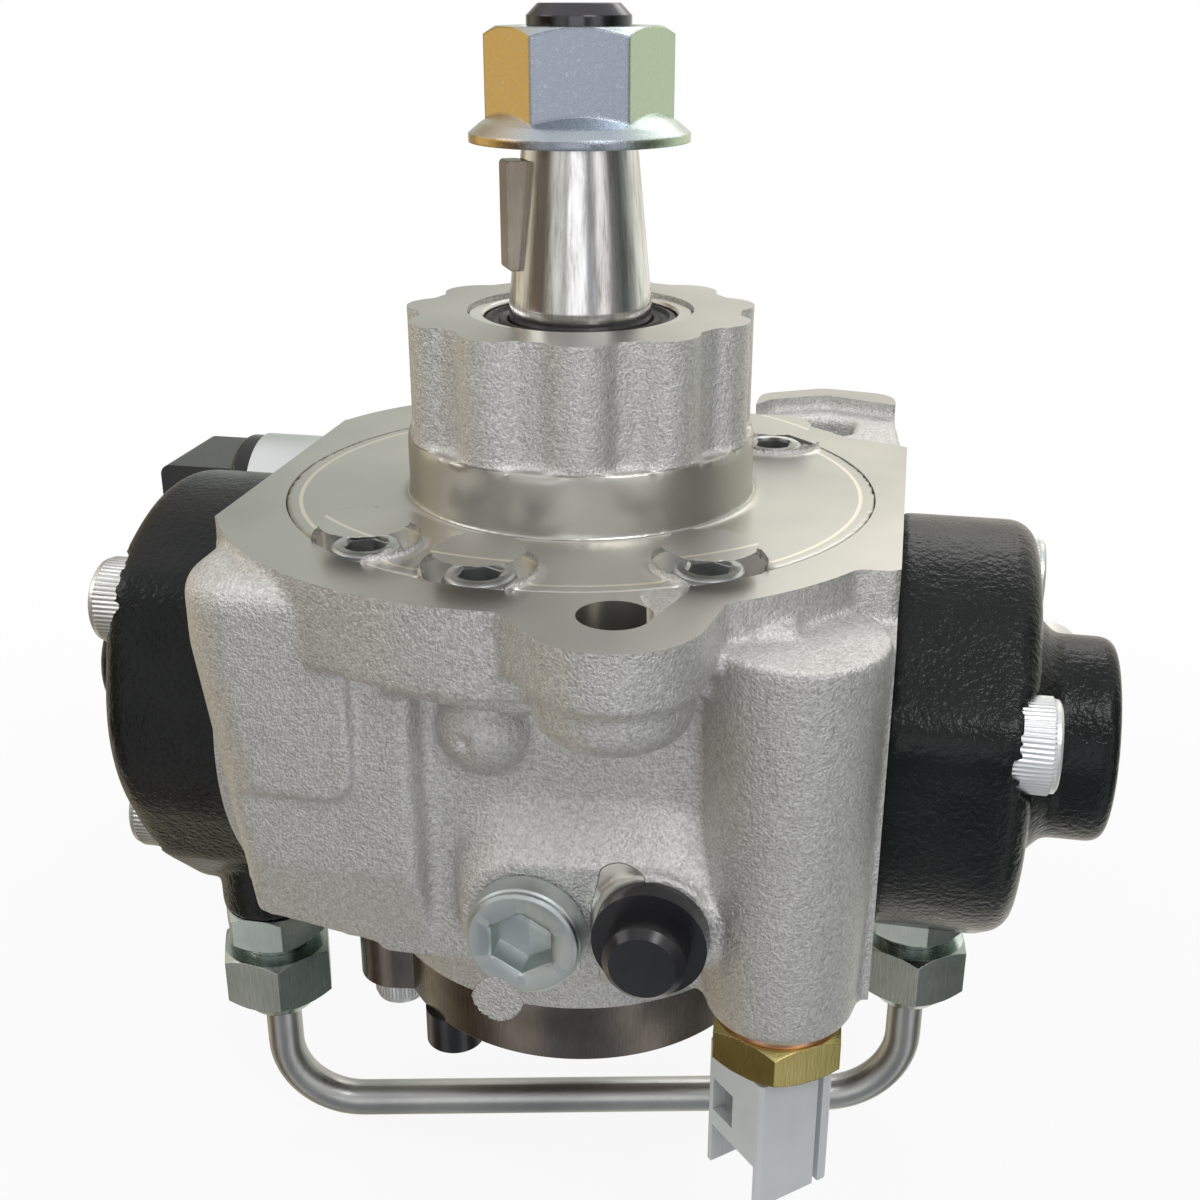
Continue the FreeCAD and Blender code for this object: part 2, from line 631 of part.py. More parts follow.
def front_cover():
    """Cover disc with spigot, pilot collar and fluted hub."""
    disc = rod(COVER_R, -COVER_DISC_DEPTH, 0)
    spigot = rod(COVER_SPIGOT_R, -COVER_SPIGOT_DEPTH, 0)
    collar = rod(PILOT_R, 0, PILOT_HEIGHT)
    core = rod(HUB_VALLEY_R, 0, HUB_TOP)
    lobes = []
    for index in range(HUB_LOBES):
        x, y = polar(HUB_LOBE_CENTRE_R, HUB_PHASE + 360.0 * index / HUB_LOBES)
        lobes.append(rod(HUB_LOBE_R, PILOT_HEIGHT - 1, HUB_TOP, x, y))
    cover = fuse_all([disc, spigot, collar, core] + lobes)
    cuts = [
        rod(JOURNAL_R + FREE_GAP, -COVER_SPIGOT_DEPTH - 1, HUB_TOP + 1),
        rod(BEARING_R, BEARING_START, BEARING_END),
        rod(SEAL_R, SEAL_START, HUB_TOP + 1),
    ]
    for x, y in cover_screw_places():
        cuts.append(rod(COVER_POCKET_R, -COVER_POCKET_DEPTH, 1, x, y))
        cuts.append(rod(M6[0] + 0.3, -COVER_DISC_DEPTH - 1, 0, x, y))
    half_groove = COVER_SEAL_CORD_R + 0.15
    groove_r = COVER_SPIGOT_R - 2 * COVER_SEAL_CORD_R - 0.1
    cuts.append(ring(COVER_SPIGOT_R + 1, groove_r, COVER_SEAL_Z - half_groove, COVER_SEAL_Z + half_groove))
    return cover.cut(cuts)


def front_cover_screws():
    """Socket screws in the cover's pockets."""
    screws = []
    for x, y in cover_screw_places():
        screw = socket_screw(M6, COVER_DISC_DEPTH - COVER_POCKET_DEPTH + COVER_THREAD_DEPTH)
        screw.translate(Vec(x, y, -COVER_POCKET_DEPTH))
        screws.append(screw)
    return Part.makeCompound(screws)


def front_cover_seal():
    """O-ring in the spigot's groove."""
    return cord_seal(COVER_SPIGOT_R - COVER_SEAL_CORD_R - HAIR, COVER_SEAL_CORD_R, COVER_SEAL_Z)


def shaft_oil_seal():
    """Lip seal: a ring with a hollow back, and a lip close to the journal."""
    outer = SEAL_R - SEAT_GAP
    lip = JOURNAL_R + 0.1
    profile = [(lip, SEAL_END - 3.0), (lip + 1.0, SEAL_END - 3.4), (outer - 3.0, SEAL_END - 3.4),
               (outer - 3.0, SEAL_START), (outer, SEAL_START), (outer, SEAL_END),
               (outer - 1.4, SEAL_END), (outer - 1.6, SEAL_END - 0.6), (lip + 1.2, SEAL_END - 0.6),
               (lip, SEAL_END - 2.0)]
    return turned(profile)


def front_bearing():
    """Plain bearing bush in the cover."""
    return ring(BEARING_R - 0.01, JOURNAL_R + RUNNING_GAP, BEARING_START + 0.02, BEARING_END - 0.02)


def drive_shaft():
    """Shaft with taper, thread, eccentric and feed pump drive."""
    end = FEED_FLOOR - DRIVE_LENGTH
    profile = [(0, end), (DRIVE_R, end), (DRIVE_R, FEED_FLOOR - 0.1),
               (REAR_JOURNAL_R, FEED_FLOOR + 0.2), (REAR_JOURNAL_R, RING_BOTTOM - 0.2),
               (JOURNAL_R, RING_TOP - 1), (JOURNAL_R, TAPER_START), (TAPER_SMALL_R, TAPER_END),
               (THREAD_R, TAPER_END + 0.1), (THREAD_R, SHAFT_TOP - 1.5), (THREAD_R - 1.5, SHAFT_TOP), (0, SHAFT_TOP)]
    shaft = turned(profile)
    x, y = eccentric_centre()
    shaft = shaft.fuse(rod(ECCENTRIC_R, RING_BOTTOM, RING_TOP, x, y))
    for side in (-1, 1):
        cutter = Part.makeBox(20, 10, DRIVE_LENGTH, Vec(-10, side * (DRIVE_FLAT + 5) - 5, end - 0.1))
        shaft = shaft.cut(cutter)
    return shaft.cut(key_blank(0.02)).removeSplitter()


def key_blank(gap):
    """Key shape with a gap all round: a bar with rounded ends set in the taper."""
    half = KEY_WIDTH / 2 + gap
    low = KEY_BOTTOM - gap
    high = KEY_TOP + gap
    inner = KEY_INNER_R - gap
    corner = 3.2
    outline = rounded_outline([(inner, low, corner), (KEY_OUTER_R, low, 0.6),
                               (KEY_OUTER_R, high, 0.6), (inner, high, corner)])
    key = slab(outline, -half, half)
    key.rotate(ORIGIN, X_AXIS, 90)
    key.rotate(ORIGIN, Z_AXIS, KEY_ANGLE)
    return key


def shaft_key():
    """Key in the taper's slot."""
    return key_blank(0.0)


def shaft_nut():
    """Flange nut with a domed flange and dressed hexagon."""
    base = TAPER_END + 0.2
    top = base + NUT_HEIGHT
    body = dressed_hexagon(NUT_AF, base + 1.0, top, turn=NUT_TURN)
    dome = turned([(0, base), (NUT_FLANGE_R, base), (NUT_FLANGE_R, base + 1.1),
                   (NUT_FLANGE_R - 1.6, base + NUT_FLANGE_THICKNESS - 0.6),
                   (NUT_AF / 2 - 0.6, base + NUT_FLANGE_THICKNESS + 1.2), (0, base + NUT_FLANGE_THICKNESS + 1.2)])
    bore = turned([(0, base - 1), (THREAD_R + 1.6, base - 1), (THREAD_R + 0.06, base + 1.2),
                   (THREAD_R + 0.06, top - 1.0), (THREAD_R + 1.1, top + 0.1), (0, top + 0.1)])
    return body.fuse(dome).cut(bore).removeSplitter()


def ring_cam():
    """Square ring that orbits with the eccentric and pushes both tappets."""
    half = RING_HALF_WIDTH
    x, y = eccentric_centre()
    outline = rounded_outline([(-half, -half, RING_CORNER_R), (half, -half, RING_CORNER_R),
                               (half, half, RING_CORNER_R), (-half, half, RING_CORNER_R)])
    block = slab(outline, RING_BOTTOM, RING_TOP)
    block = block.cut(rod(ECCENTRIC_R + RUNNING_GAP + BUSH_WALL, RING_BOTTOM - 1, RING_TOP + 1))
    block.translate(Vec(x, y, 0))
    return block


def ring_cam_bush():
    """Bush pressed in the ring cam."""
    x, y = eccentric_centre()
    inner = ECCENTRIC_R + RUNNING_GAP
    return ring(inner + BUSH_WALL - 0.01, inner, RING_BOTTOM + 0.2, RING_TOP - 0.2, x, y)


def thrust_washers():
    """Thrust washers above and below the ring cam."""
    high = RING_TOP + FREE_GAP
    low = CHAMBER_FLOOR + HAIR
    upper = ring(WASHER_R, JOURNAL_R + 2 * FREE_GAP, high, high + WASHER_THICKNESS)
    lower = ring(WASHER_R, REAR_JOURNAL_R + 2 * FREE_GAP, low, low + WASHER_THICKNESS)
    return Part.makeCompound([upper, lower])


def rear_bush():
    """Plain bush between the cam chamber and the feed pump."""
    return ring(REAR_BUSH_R - 0.01, REAR_JOURNAL_R + RUNNING_GAP, FEED_FLOOR + 0.3, CHAMBER_FLOOR - 0.05)


def feed_inner_rotor():
    """Inner rotor: the path of the outer rotor's lobes, moved inwards by a lobe and the tip gap."""
    steps = 12 * (FEED_OUTER_LOBES - 1)
    points = []
    for step in range(steps):
        turn = 2 * math.pi * step / steps
        fast = FEED_OUTER_LOBES * turn
        x = FEED_PITCH_R * math.cos(turn) + FEED_OFFSET * math.cos(fast)
        y = FEED_PITCH_R * math.sin(turn) + FEED_OFFSET * math.sin(fast)
        dx = -FEED_PITCH_R * math.sin(turn) - FEED_OUTER_LOBES * FEED_OFFSET * math.sin(fast)
        dy = FEED_PITCH_R * math.cos(turn) + FEED_OUTER_LOBES * FEED_OFFSET * math.cos(fast)
        speed = math.hypot(dx, dy)
        inset = FEED_LOBE_R + FEED_TIP_GAP
        points.append(Vec(x - inset * dy / speed, y + inset * dx / speed, 0))
    curve = Part.BSplineCurve()
    curve.interpolate(Points=points, PeriodicFlag=True)
    rotor = slab(Part.Wire(curve.toShape()), FEED_FLOOR - 9.3, FEED_FLOOR - 0.3)
    hole = rod(DRIVE_R + RUNNING_GAP, FEED_FLOOR - 10, FEED_FLOOR)
    flat = DRIVE_FLAT + RUNNING_GAP
    for side in (-1, 1):
        hole = hole.cut(Part.makeBox(20, 10, 11, Vec(-10, side * (flat + 5) - 5, FEED_FLOOR - 10.5)))
    return rotor.cut(hole)


def feed_outer_rotor():
    """Outer rotor with round lobes, centred beside the shaft."""
    low = FEED_FLOOR - 9.3
    high = FEED_FLOOR - 0.3
    root = FEED_PITCH_R - FEED_LOBE_R + 2 * FEED_OFFSET + 0.15
    cavity = rod(root, low - 1, high + 1)
    lobes = []
    for index in range(FEED_OUTER_LOBES):
        x, y = polar(FEED_PITCH_R, 360.0 * index / FEED_OUTER_LOBES)
        lobes.append(rod(FEED_LOBE_R, low - 2, high + 2, x, y))
    cavity = cavity.cut(lobes)
    rotor = rod(FEED_OUTER_R, low, high).cut(cavity)
    rotor.translate(Vec(FEED_OFFSET, 0, 0))
    return rotor


def feed_pump_housing():
    """Ring that the outer rotor turns in."""
    outer = rod(FEED_HOUSING_R, BODY_REAR + 0.02, FEED_FLOOR - 0.02)
    return outer.cut(rod(FEED_OUTER_R + RUNNING_GAP, BODY_REAR - 1, FEED_FLOOR + 1, FEED_OFFSET, 0))


def feed_plate(radius, lug, start, thickness):
    """Round plate with a lug at each screw of the rear cover."""
    pieces = [rod(radius, start, start + thickness)]
    for x, y in feed_screw_places():
        pieces.append(slab(belt([(x, y, lug), (x / 2, y / 2, lug + 4)]), start, start + thickness))
    return fuse_all(pieces)


def feed_cover():
    """Steel rear cover of the feed pump."""
    cover = feed_plate(FEED_COVER_R, FEED_LUG_R, FEED_COVER_BOTTOM, FEED_COVER_THICKNESS)
    for x, y in feed_screw_places():
        cover = cover.cut(rod(M5[0] + 0.25, FEED_COVER_BOTTOM - 1, FEED_COVER_TOP + 1, x, y))
    cover = cover.cut(rod(RETURN_R - 1.5, FEED_COVER_BOTTOM - 1, FEED_COVER_BOTTOM + 6, RETURN_X, RETURN_Y))
    return cover


def feed_cover_seal():
    """Gasket between the body and the rear cover."""
    plate = feed_plate(FEED_COVER_R - 0.5, FEED_LUG_R - 0.5, FEED_COVER_TOP + 0.01, FEED_SEAL_THICKNESS - 0.02)
    plate = plate.cut(rod(FEED_HOUSING_R - 1, FEED_COVER_TOP - 1, BODY_REAR + 1))
    for x, y in feed_screw_places():
        plate = plate.cut(rod(M5[0] + 0.25, FEED_COVER_TOP - 1, BODY_REAR + 1, x, y))
    return plate


def feed_cover_screws():
    """Socket screws under the rear cover."""
    screws = []
    for x, y in feed_screw_places():
        screw = socket_screw(M5, FEED_COVER_THICKNESS + FEED_SEAL_THICKNESS + FEED_THREAD_DEPTH)
        screw.rotate(ORIGIN, X_AXIS, 180)
        screw.translate(Vec(x, y, FEED_COVER_BOTTOM))
        screws.append(screw)
    return Part.makeCompound(screws)


def return_cap():
    """Soft cap on the return port under the rear cover."""
    skirt = rod(RETURN_R, FEED_COVER_BOTTOM - RETURN_LENGTH, FEED_COVER_BOTTOM, RETURN_X, RETURN_Y)
    stem = rod(RETURN_R - 1.55, FEED_COVER_BOTTOM - 1, FEED_COVER_BOTTOM + 5, RETURN_X, RETURN_Y)
    return skirt.fuse(stem).removeSplitter()


def head_plate():
    """Flange of a head, built upright on the origin: lobes at the bolts, a keel below and a rounded outer rim."""
    top, front, low = [(-up, y, HEAD_LOBE_R) for y, up in HEAD_BOLTS]
    keel_y, keel_up, keel_r = HEAD_KEEL
    middle = (0.0, 0.0, HEAD_R)
    crown = (0.0, 0.0, HEAD_CROWN_R)
    circles = [top, crown, front, middle, (-keel_up, keel_y, keel_r), low, middle]
    plate = slab(belt(circles), 0, HEAD_THICKNESS)
    return rounded(plate, HEAD_RIM_R, lambda edge: edge.BoundBox.ZMin > HEAD_THICKNESS - 0.1)


def head(boss, union):
    """Plunger head for the right side: flange, spigot, barrel, end boss and union boss."""
    boss_r, boss_end = boss
    union_x, union_y, _ = union
    plate = head_plate()
    plate.translate(Vec(0, 0, SIDE_FACE_X))
    barrel = rod(BARREL_R, BARREL_START, SIDE_FACE_X + 1)
    spigot = rod(HEAD_SPIGOT_R, HEAD_SPIGOT_START, SIDE_FACE_X + 1)
    end_boss = rod(boss_r, HEAD_OUTER_X - 1, boss_end)
    end_boss = rounded(end_boss, 2.2, lambda edge: edge.BoundBox.ZMin > boss_end - 0.1)
    collar = Part.makeCone(boss_r + 4, boss_r, 4.0, Vec(0, 0, HEAD_OUTER_X - 0.2))
    solid = fuse_all([plate, barrel, spigot, end_boss, collar])
    solid = aim_x(solid, 0, PLUNGER_Z)
    union_boss = rod(UNION_BOSS_R, UNION_BOSS_BOTTOM, UNION_BOSS_BOTTOM + UNION_BOSS_LENGTH, union_x, union_y)
    solid = solid.fuse(union_boss)
    cuts = [
        rod_x(PLUNGER_R + RUNNING_GAP, BARREL_START - 1, PLUNGER_BORE_END, 0, PLUNGER_Z),
        rod_x(VALVE_CHAMBER_R, PLUNGER_BORE_END, VALVE_CHAMBER_END, 0, PLUNGER_Z),
        rod(UNION_THREAD_R, UNION_BOSS_BOTTOM - 1, UNION_BOSS_BOTTOM + UNION_THREAD_LENGTH, union_x, union_y),
        rod(BALL_R + 0.4, UNION_BOSS_BOTTOM, BALL_SEAT_Z, union_x, union_y),
        rod(PASSAGE_R, BALL_SEAT_Z - 1, PASSAGE_TOP, union_x, union_y),
    ]
    for y, z in head_bolt_places():
        cuts.append(rod_x(M8[0] + FREE_GAP, SIDE_FACE_X - 1, HEAD_OUTER_X + 1, y, z))
        cuts.append(rod_x(M8[1] + 0.8, HEAD_OUTER_X - HEAD_BOLT_SINK, HEAD_OUTER_X + 12, y, z))
    return solid.cut(cuts)


def right_head():
    """Right head with its thick end boss and the rail outlet's bore at the back."""
    solid = head(RIGHT_BOSS, RIGHT_UNION)
    cuts = [
        rod_y(OUTLET_ROOT_R, OUTLET_SEAT_Y - 10, OUTLET_SEAT_Y + 1, OUTLET_X, OUTLET_Z),
        rod_y(OUTLET_BORE_R, OUTLET_BORE_Y, OUTLET_SEAT_Y, OUTLET_X, OUTLET_Z),
        rod_x(OUTLET_BORE_R, VALVE_CHAMBER_END - 2, OUTLET_X, OUTLET_BORE_Y, OUTLET_Z),
    ]
    spot = rod_y(OUTLET_HEX_AF / 2, OUTLET_SEAT_Y - 9, OUTLET_SEAT_Y, OUTLET_X, OUTLET_Z)
    return solid.fuse(spot).cut(cuts)


def left_head():
    """Left head with its slim end boss."""
    return half_turn(head(LEFT_BOSS, LEFT_UNION))


def head_bolts():
    """Right head's socket screws."""
    screws = []
    for y, z in head_bolt_places():
        screw = socket_screw(M8, HEAD_THICKNESS - HEAD_BOLT_SINK + HEAD_BOLT_THREAD)
        screw.translate(Vec(0, 0, HEAD_OUTER_X - HEAD_BOLT_SINK))
        screws.append(aim_x(screw, y, z))
    return Part.makeCompound(screws)


def head_seal():
    """O-ring round the right head's spigot."""
    half = HEAD_SEAL_DEPTH / 2
    seal = cord_seal((HEAD_SPIGOT_R + HEAD_SEAL_R) / 2, half - SEAT_GAP, SIDE_FACE_X - half)
    return aim_x(seal, 0, PLUNGER_Z)


def tappet():
    """Cup tappet on the ring cam's flat."""
    cup = rod(TAPPET_R, TAPPET_FACE, TAPPET_FACE + TAPPET_LENGTH)
    cup = cup.cut(rod(TAPPET_R - TAPPET_WALL, TAPPET_FACE + TAPPET_FLOOR, TAPPET_FACE + TAPPET_LENGTH + 1))
    return aim_x(cup, 0, PLUNGER_Z)


def plunger():
    """Plunger with its foot on the tappet's floor."""
    foot_x = TAPPET_FACE + TAPPET_FLOOR + 0.01
    profile = [(0, foot_x), (6.5, foot_x), (6.5, foot_x + 2.0), (PLUNGER_R - 0.6, foot_x + 2.0),
               (PLUNGER_R - 0.6, foot_x + 4.0), (PLUNGER_R, foot_x + 4.5), (PLUNGER_R, PLUNGER_END - 0.5),
               (PLUNGER_R - 0.5, PLUNGER_END), (0, PLUNGER_END)]
    return aim_x(turned(profile), 0, PLUNGER_Z)


def plunger_spring():
    """Return spring between the tappet and the head's spigot."""
    start = TAPPET_FACE + TAPPET_FLOOR + 0.05
    spring = helical_spring(SPRING_R, SPRING_WIRE_R, start, HEAD_SPIGOT_START - 0.05, SPRING_TURNS)
    return aim_x(spring, 0, PLUNGER_Z)


def suction_valve():
    """Suction valve plate and stem in the head's valve chamber."""
    plate = rod(VALVE_CHAMBER_R - 0.6, PLUNGER_BORE_END + 1.4, PLUNGER_BORE_END + 2.6)
    stem = rod(2.0, PLUNGER_BORE_END + 2.4, PLUNGER_BORE_END + 8.0)
    return aim_x(plate.fuse(stem).removeSplitter(), 0, PLUNGER_Z)


def union_fitting(union):
    """Threaded union in the bottom of a head, as if on the right."""
    x, y, turn = union
    top = UNION_BOSS_BOTTOM + UNION_THREAD_LENGTH - HAIR
    thread = rod(UNION_THREAD_R - SEAT_GAP, UNION_BOSS_BOTTOM - 1, top, x, y)
    hexagon_part = dressed_hexagon(UNION_AF, UNION_HEX_BOTTOM, UNION_BOSS_BOTTOM, x, y, turn + 8)
    nose = rod(UNION_NOSE_R, UNION_NUT_BOTTOM + 5, UNION_HEX_BOTTOM + 1, x, y)
    bore = rod(PASSAGE_R, UNION_NUT_BOTTOM, top + 1, x, y)
    return fuse_all([thread, hexagon_part, nose]).cut(bore)


def union_nut(union):
    """Pipe nut with a hexagon and a tapered lower end, as if on the right."""
    x, y, turn = union
    body = dressed_hexagon(UNION_NUT_AF, UNION_NUT_BOTTOM + 3.0, UNION_NUT_TOP, x, y, turn)
    cone = turned([(0, UNION_NUT_BOTTOM), (UNION_NOSE_R, UNION_NUT_BOTTOM), (UNION_NUT_AF / 2, UNION_NUT_BOTTOM + 3.6),
                   (0, UNION_NUT_BOTTOM + 3.6)], x, y)
    nut = body.fuse(cone)
    nut = nut.cut(rod(UNION_NOSE_R + SEAT_GAP, UNION_NUT_BOTTOM + 4.6, UNION_NUT_TOP + 1, x, y))
    nut = nut.cut(rod(PIPE_R + SEAT_GAP, UNION_NUT_BOTTOM - 1, UNION_NUT_TOP, x, y))
    return nut.removeSplitter()


def transfer_pipe():
    """Steel pipe from the left union down, across and up to the right union."""
    top = UNION_NUT_BOTTOM + 4.4
    left_x, left_y, _ = LEFT_UNION
    right_x, right_y, _ = RIGHT_UNION
    corners = [Vec(-left_x, -left_y, top), Vec(-left_x, -left_y, PIPE_RUN_Z),
               Vec(right_x, right_y, PIPE_RUN_Z), Vec(right_x, right_y, top)]
    edges = []
    start = corners[0]
    for index in (1, 2):
        back = (corners[index - 1] - corners[index]).normalize()
        ahead = (corners[index + 1] - corners[index]).normalize()
        bisector = (back + ahead).normalize()
        half = back.getAngle(ahead) / 2
        centre = corners[index] + bisector * (PIPE_BEND_R / math.sin(half))
        first = corners[index] + back * (PIPE_BEND_R / math.tan(half))
        last = corners[index] + ahead * (PIPE_BEND_R / math.tan(half))
        edges.append(Part.LineSegment(start, first).toShape())
        edges.append(Part.Arc(first, centre - bisector * PIPE_BEND_R, last).toShape())
        start = last
    edges.append(Part.LineSegment(start, corners[3]).toShape())
    path = Part.Wire(edges)
    circle = Part.Wire(Part.makeCircle(PIPE_R, corners[0], Z_AXIS))
    return path.makePipeShell([circle], True, False)


def temperature_sensor():
    """Brass sensor with its hexagon under the tower and its probe inside."""
    hex_part = dressed_hexagon(SENSOR_AF, TOWER_BOTTOM - 6.6, TOWER_BOTTOM - 1.0, TOWER_X, TOWER_Y, SENSOR_TURN)
    neck = rod(SENSOR_NECK_R, SOCKET_TOP, TOWER_BOTTOM - 6.0, TOWER_X, TOWER_Y)
    thread = rod(SENSOR_THREAD_R, TOWER_BOTTOM - 1.5, TOWER_BOTTOM + 10, TOWER_X, TOWER_Y)
    probe = rod(SENSOR_THREAD_R / 2, TOWER_BOTTOM + 9, TOWER_BOTTOM + 22, TOWER_X, TOWER_Y)
    return fuse_all([hex_part, neck, thread, probe])


def sensor_washer():
    """Sealing washer between the sensor's hexagon and the tower."""
    inner = SENSOR_THREAD_R + 2 * SEAT_GAP
    return ring(inner + 2.1, inner, TOWER_BOTTOM - 1 + HAIR, TOWER_BOTTOM - HAIR, TOWER_X, TOWER_Y)


def turn_to_socket(shape):
    """Turn a shape built on the origin to the sensor's plug socket."""
    shape.rotate(ORIGIN, Z_AXIS, SOCKET_TURN)
    shape.translate(SOCKET_SHIFT + Vec(TOWER_X, TOWER_Y, 0))
    return shape


def sensor_connector():
    """Plastic plug socket under the sensor, open at the bottom, with a latch window and a notch on its left."""
    u = SOCKET_HALF_U
    v = SOCKET_HALF_V
    outer = rounded_outline([(-u, -v, 0.8), (u, -v, 0.8), (u, v, 0.8), (-u, v, 0.8)])
    body = slab(outer, SOCKET_BOTTOM, SOCKET_TOP)
    iu = u - SOCKET_WALL
    iv = v - SOCKET_WALL
    inner = rounded_outline([(-iu, -iv, 1), (iu, -iv, 1), (iu, iv, 1), (-iu, iv, 1)])
    cavity = slab(inner, SOCKET_BOTTOM - 1, SOCKET_TOP - 5)
    window = Part.makeBox(3, 4.6, 5.4, Vec(-u - 1, 0.1, SOCKET_TOP - 11.2))
    notch = Part.makeBox(3, 2 * v - 2.4, 7.6, Vec(-u - 1, -v + 1.0, SOCKET_BOTTOM - 1))
    groove = Part.makeBox(0.9, 2.0, 30, Vec(u - 2.7, -v - 1.0, SOCKET_BOTTOM - 1))
    return turn_to_socket(body.cut([cavity, window, notch, groove]))


def sensor_terminals():
    """Two blade terminals in the sensor's socket."""
    blades = []
    for side in (-2.2, 2.2):
        low = SOCKET_BOTTOM + 6.5
        blades.append(Part.makeBox(2.4, 0.8, SOCKET_TOP - 5 - HAIR - low, Vec(-1.2, side - 0.4, low)))
    return turn_to_socket(Part.makeCompound(blades))


def regulator_plug():
    """Hex-socket plug that closes the regulating valve."""
    face = -PLUG_FACE_Y
    seat = -PLUG_SEAT_Y
    head_part = turned([(0, seat), (PLUG_R, seat), (PLUG_R, face - 0.6), (PLUG_R - 0.6, face), (0, face)])
    thread = rod(PLUG_THREAD_R, -PLUG_THREAD_END, seat + 1)
    pocket = hexagon(PLUG_SOCKET_AF, face - 3.6, face + 1, turn=12)
    hollow = rod(PLUG_HOLLOW_R, -PLUG_THREAD_END - 1, -PLUG_THREAD_END + PLUG_HOLLOW_DEPTH)
    return aim_front(head_part.fuse(thread).cut(pocket).cut(hollow).removeSplitter(), PLUG_X, PLUG_Z)


def regulating_piston():
    """Piston of the regulating valve."""
    start = -REGULATOR_END_Y + FREE_GAP
    piston = rod(REGULATOR_BORE_R - RUNNING_GAP, start, start + REGULATOR_PISTON_LENGTH)
    return aim_front(piston, PLUG_X, PLUG_Z)


def regulating_spring():
    """Spring between the piston and the plug's hollow."""
    start = -REGULATOR_END_Y + FREE_GAP + REGULATOR_PISTON_LENGTH + SEAT_GAP
    spring = helical_spring(2.5, 0.4, start, -PLUG_THREAD_END + PLUG_HOLLOW_DEPTH - SEAT_GAP, 4)
    return aim_front(spring, PLUG_X, PLUG_Z)


def inlet_cap():
    """Push-in cap on the fuel inlet."""
    flange = rod(CAP_R, -CAP_SEAT_Y, -CAP_FACE_Y)
    knob = turned([(0, -CAP_FACE_Y - 1), (CAP_KNOB_R, -CAP_FACE_Y - 1), (CAP_KNOB_R, -CAP_KNOB_Y - 1.0),
                   (CAP_KNOB_R - 1.0, -CAP_KNOB_Y), (0, -CAP_KNOB_Y)])
    stem = rod(CAP_STEM_R, -CAP_STEM_END_Y, -CAP_SEAT_Y + 1)
    return aim_front(fuse_all([flange, knob, stem]), CAP_X, CAP_Z)


def metering_valve_body():
    """Solenoid can and sleeve of the metering valve."""
    end = -METER_OUTER_X
    seat = -METER_INNER_X
    can = rod(METER_R, end - METER_CAN_LENGTH, end - METER_CAP_LENGTH)
    nose = rod(METER_BORE_R, -METER_TIP_X, end - METER_CAN_LENGTH + 1)
    flange = rod(METER_R + 1.0, seat, seat + 4)
    core = rod(METER_R - 1.5, seat, end - METER_CAN_LENGTH + 1)
    body = fuse_all([can, nose, flange, core])
    body = body.cut(rod(NEEDLE_R + RUNNING_GAP, -METER_TIP_X - 1, NEEDLE_BORE_END))
    return turn_left(body)


def turn_left(shape):
    """Turn a shape built upright so that its top points to -X, on the metering valve's axis."""
    shape.rotate(ORIGIN, Y_AXIS, -90)
    shape.translate(Vec(0, METER_Y, METER_Z))
    return shape


def metering_valve_connector():
    """Plastic end of the metering valve with its plug socket at the back."""
    end = -METER_OUTER_X
    cap = rod(METER_R - 0.4, end - METER_CAP_LENGTH + HAIR, end)
    cap = turn_left(rounded(cap, 1.5, lambda edge: edge.BoundBox.ZMin > end - 0.1))
    socket = slab(rounded_outline([(-8, -6, 2), (8, -6, 2), (8, 6, 2), (-8, 6, 2)]), 0, 20)
    socket = socket.cut(slab(rounded_outline([(-6, -4, 1), (6, -4, 1), (6, 4, 1), (-6, 4, 1)]), 6, 21))
    socket.rotate(ORIGIN, X_AXIS, -90)
    socket.translate(Vec(METER_OUTER_X - 6.5, METER_Y - 6, METER_Z))
    bridge = rod_x(METER_R - 5, METER_OUTER_X - 12, METER_OUTER_X + 2, METER_Y, METER_Z)
    hole = Part.makeBox(12, 20, 8, Vec(METER_OUTER_X - 12.5, METER_Y, METER_Z - 4))
    return fuse_all([cap, socket, bridge]).cut(hole).removeSplitter()


def metering_needle():
    """Needle of the metering valve."""
    return turn_left(rod(NEEDLE_R, NEEDLE_START, NEEDLE_END))


def metering_spring():
    """Spring behind the metering needle."""
    return turn_left(helical_spring(2.2, 0.4, NEEDLE_END + SEAT_GAP, NEEDLE_BORE_END - 2 * SEAT_GAP, 5))


def rail_outlet_fitting():
    """Threaded outlet for the pipe to the rail."""
    seat = OUTLET_SEAT_Y + HAIR
    shoulder = seat + 5.5
    root = OUTLET_ROOT_R - SEAT_GAP
    profile = [(OUTLET_BORE_R, seat - 8), (root, seat - 8), (root, shoulder), (OUTLET_NECK_R, shoulder),
               (OUTLET_NECK_R, OUTLET_THREAD_Y - 0.6), (OUTLET_R, OUTLET_THREAD_Y),
               (OUTLET_R, OUTLET_END_Y - 1.2), (OUTLET_R - 1.2, OUTLET_END_Y), (4.0, OUTLET_END_Y),
               (OUTLET_BORE_R, OUTLET_END_Y - 4)]
    hex_part = dressed_hexagon(OUTLET_HEX_AF, seat, shoulder, turn=30).cut(rod(2.0, seat - 1, shoulder + 1))
    return aim_back(turned(profile).fuse(hex_part), OUTLET_X, OUTLET_Z)


def delivery_ball(union):
    """Delivery valve ball under its seat in a head's passage, as if on the right."""
    x, y, _ = union
    drop = math.sqrt(BALL_R ** 2 - PASSAGE_R ** 2)
    return Part.makeSphere(BALL_R, Vec(x, y, BALL_SEAT_Z - drop - 0.03))


def delivery_spring(union):
    """Spring between the ball and the union fitting, as if on the right."""
    x, y, _ = union
    low = UNION_BOSS_BOTTOM + UNION_THREAD_LENGTH + HAIR
    high = BALL_SEAT_Z - 2 * BALL_R + 0.4
    spring = helical_spring(1.7, 0.3, low, high, 3)
    spring.translate(Vec(x, y, 0))
    return spring


PAIRED = (head_bolts, head_seal, tappet, plunger, plunger_spring, suction_valve)

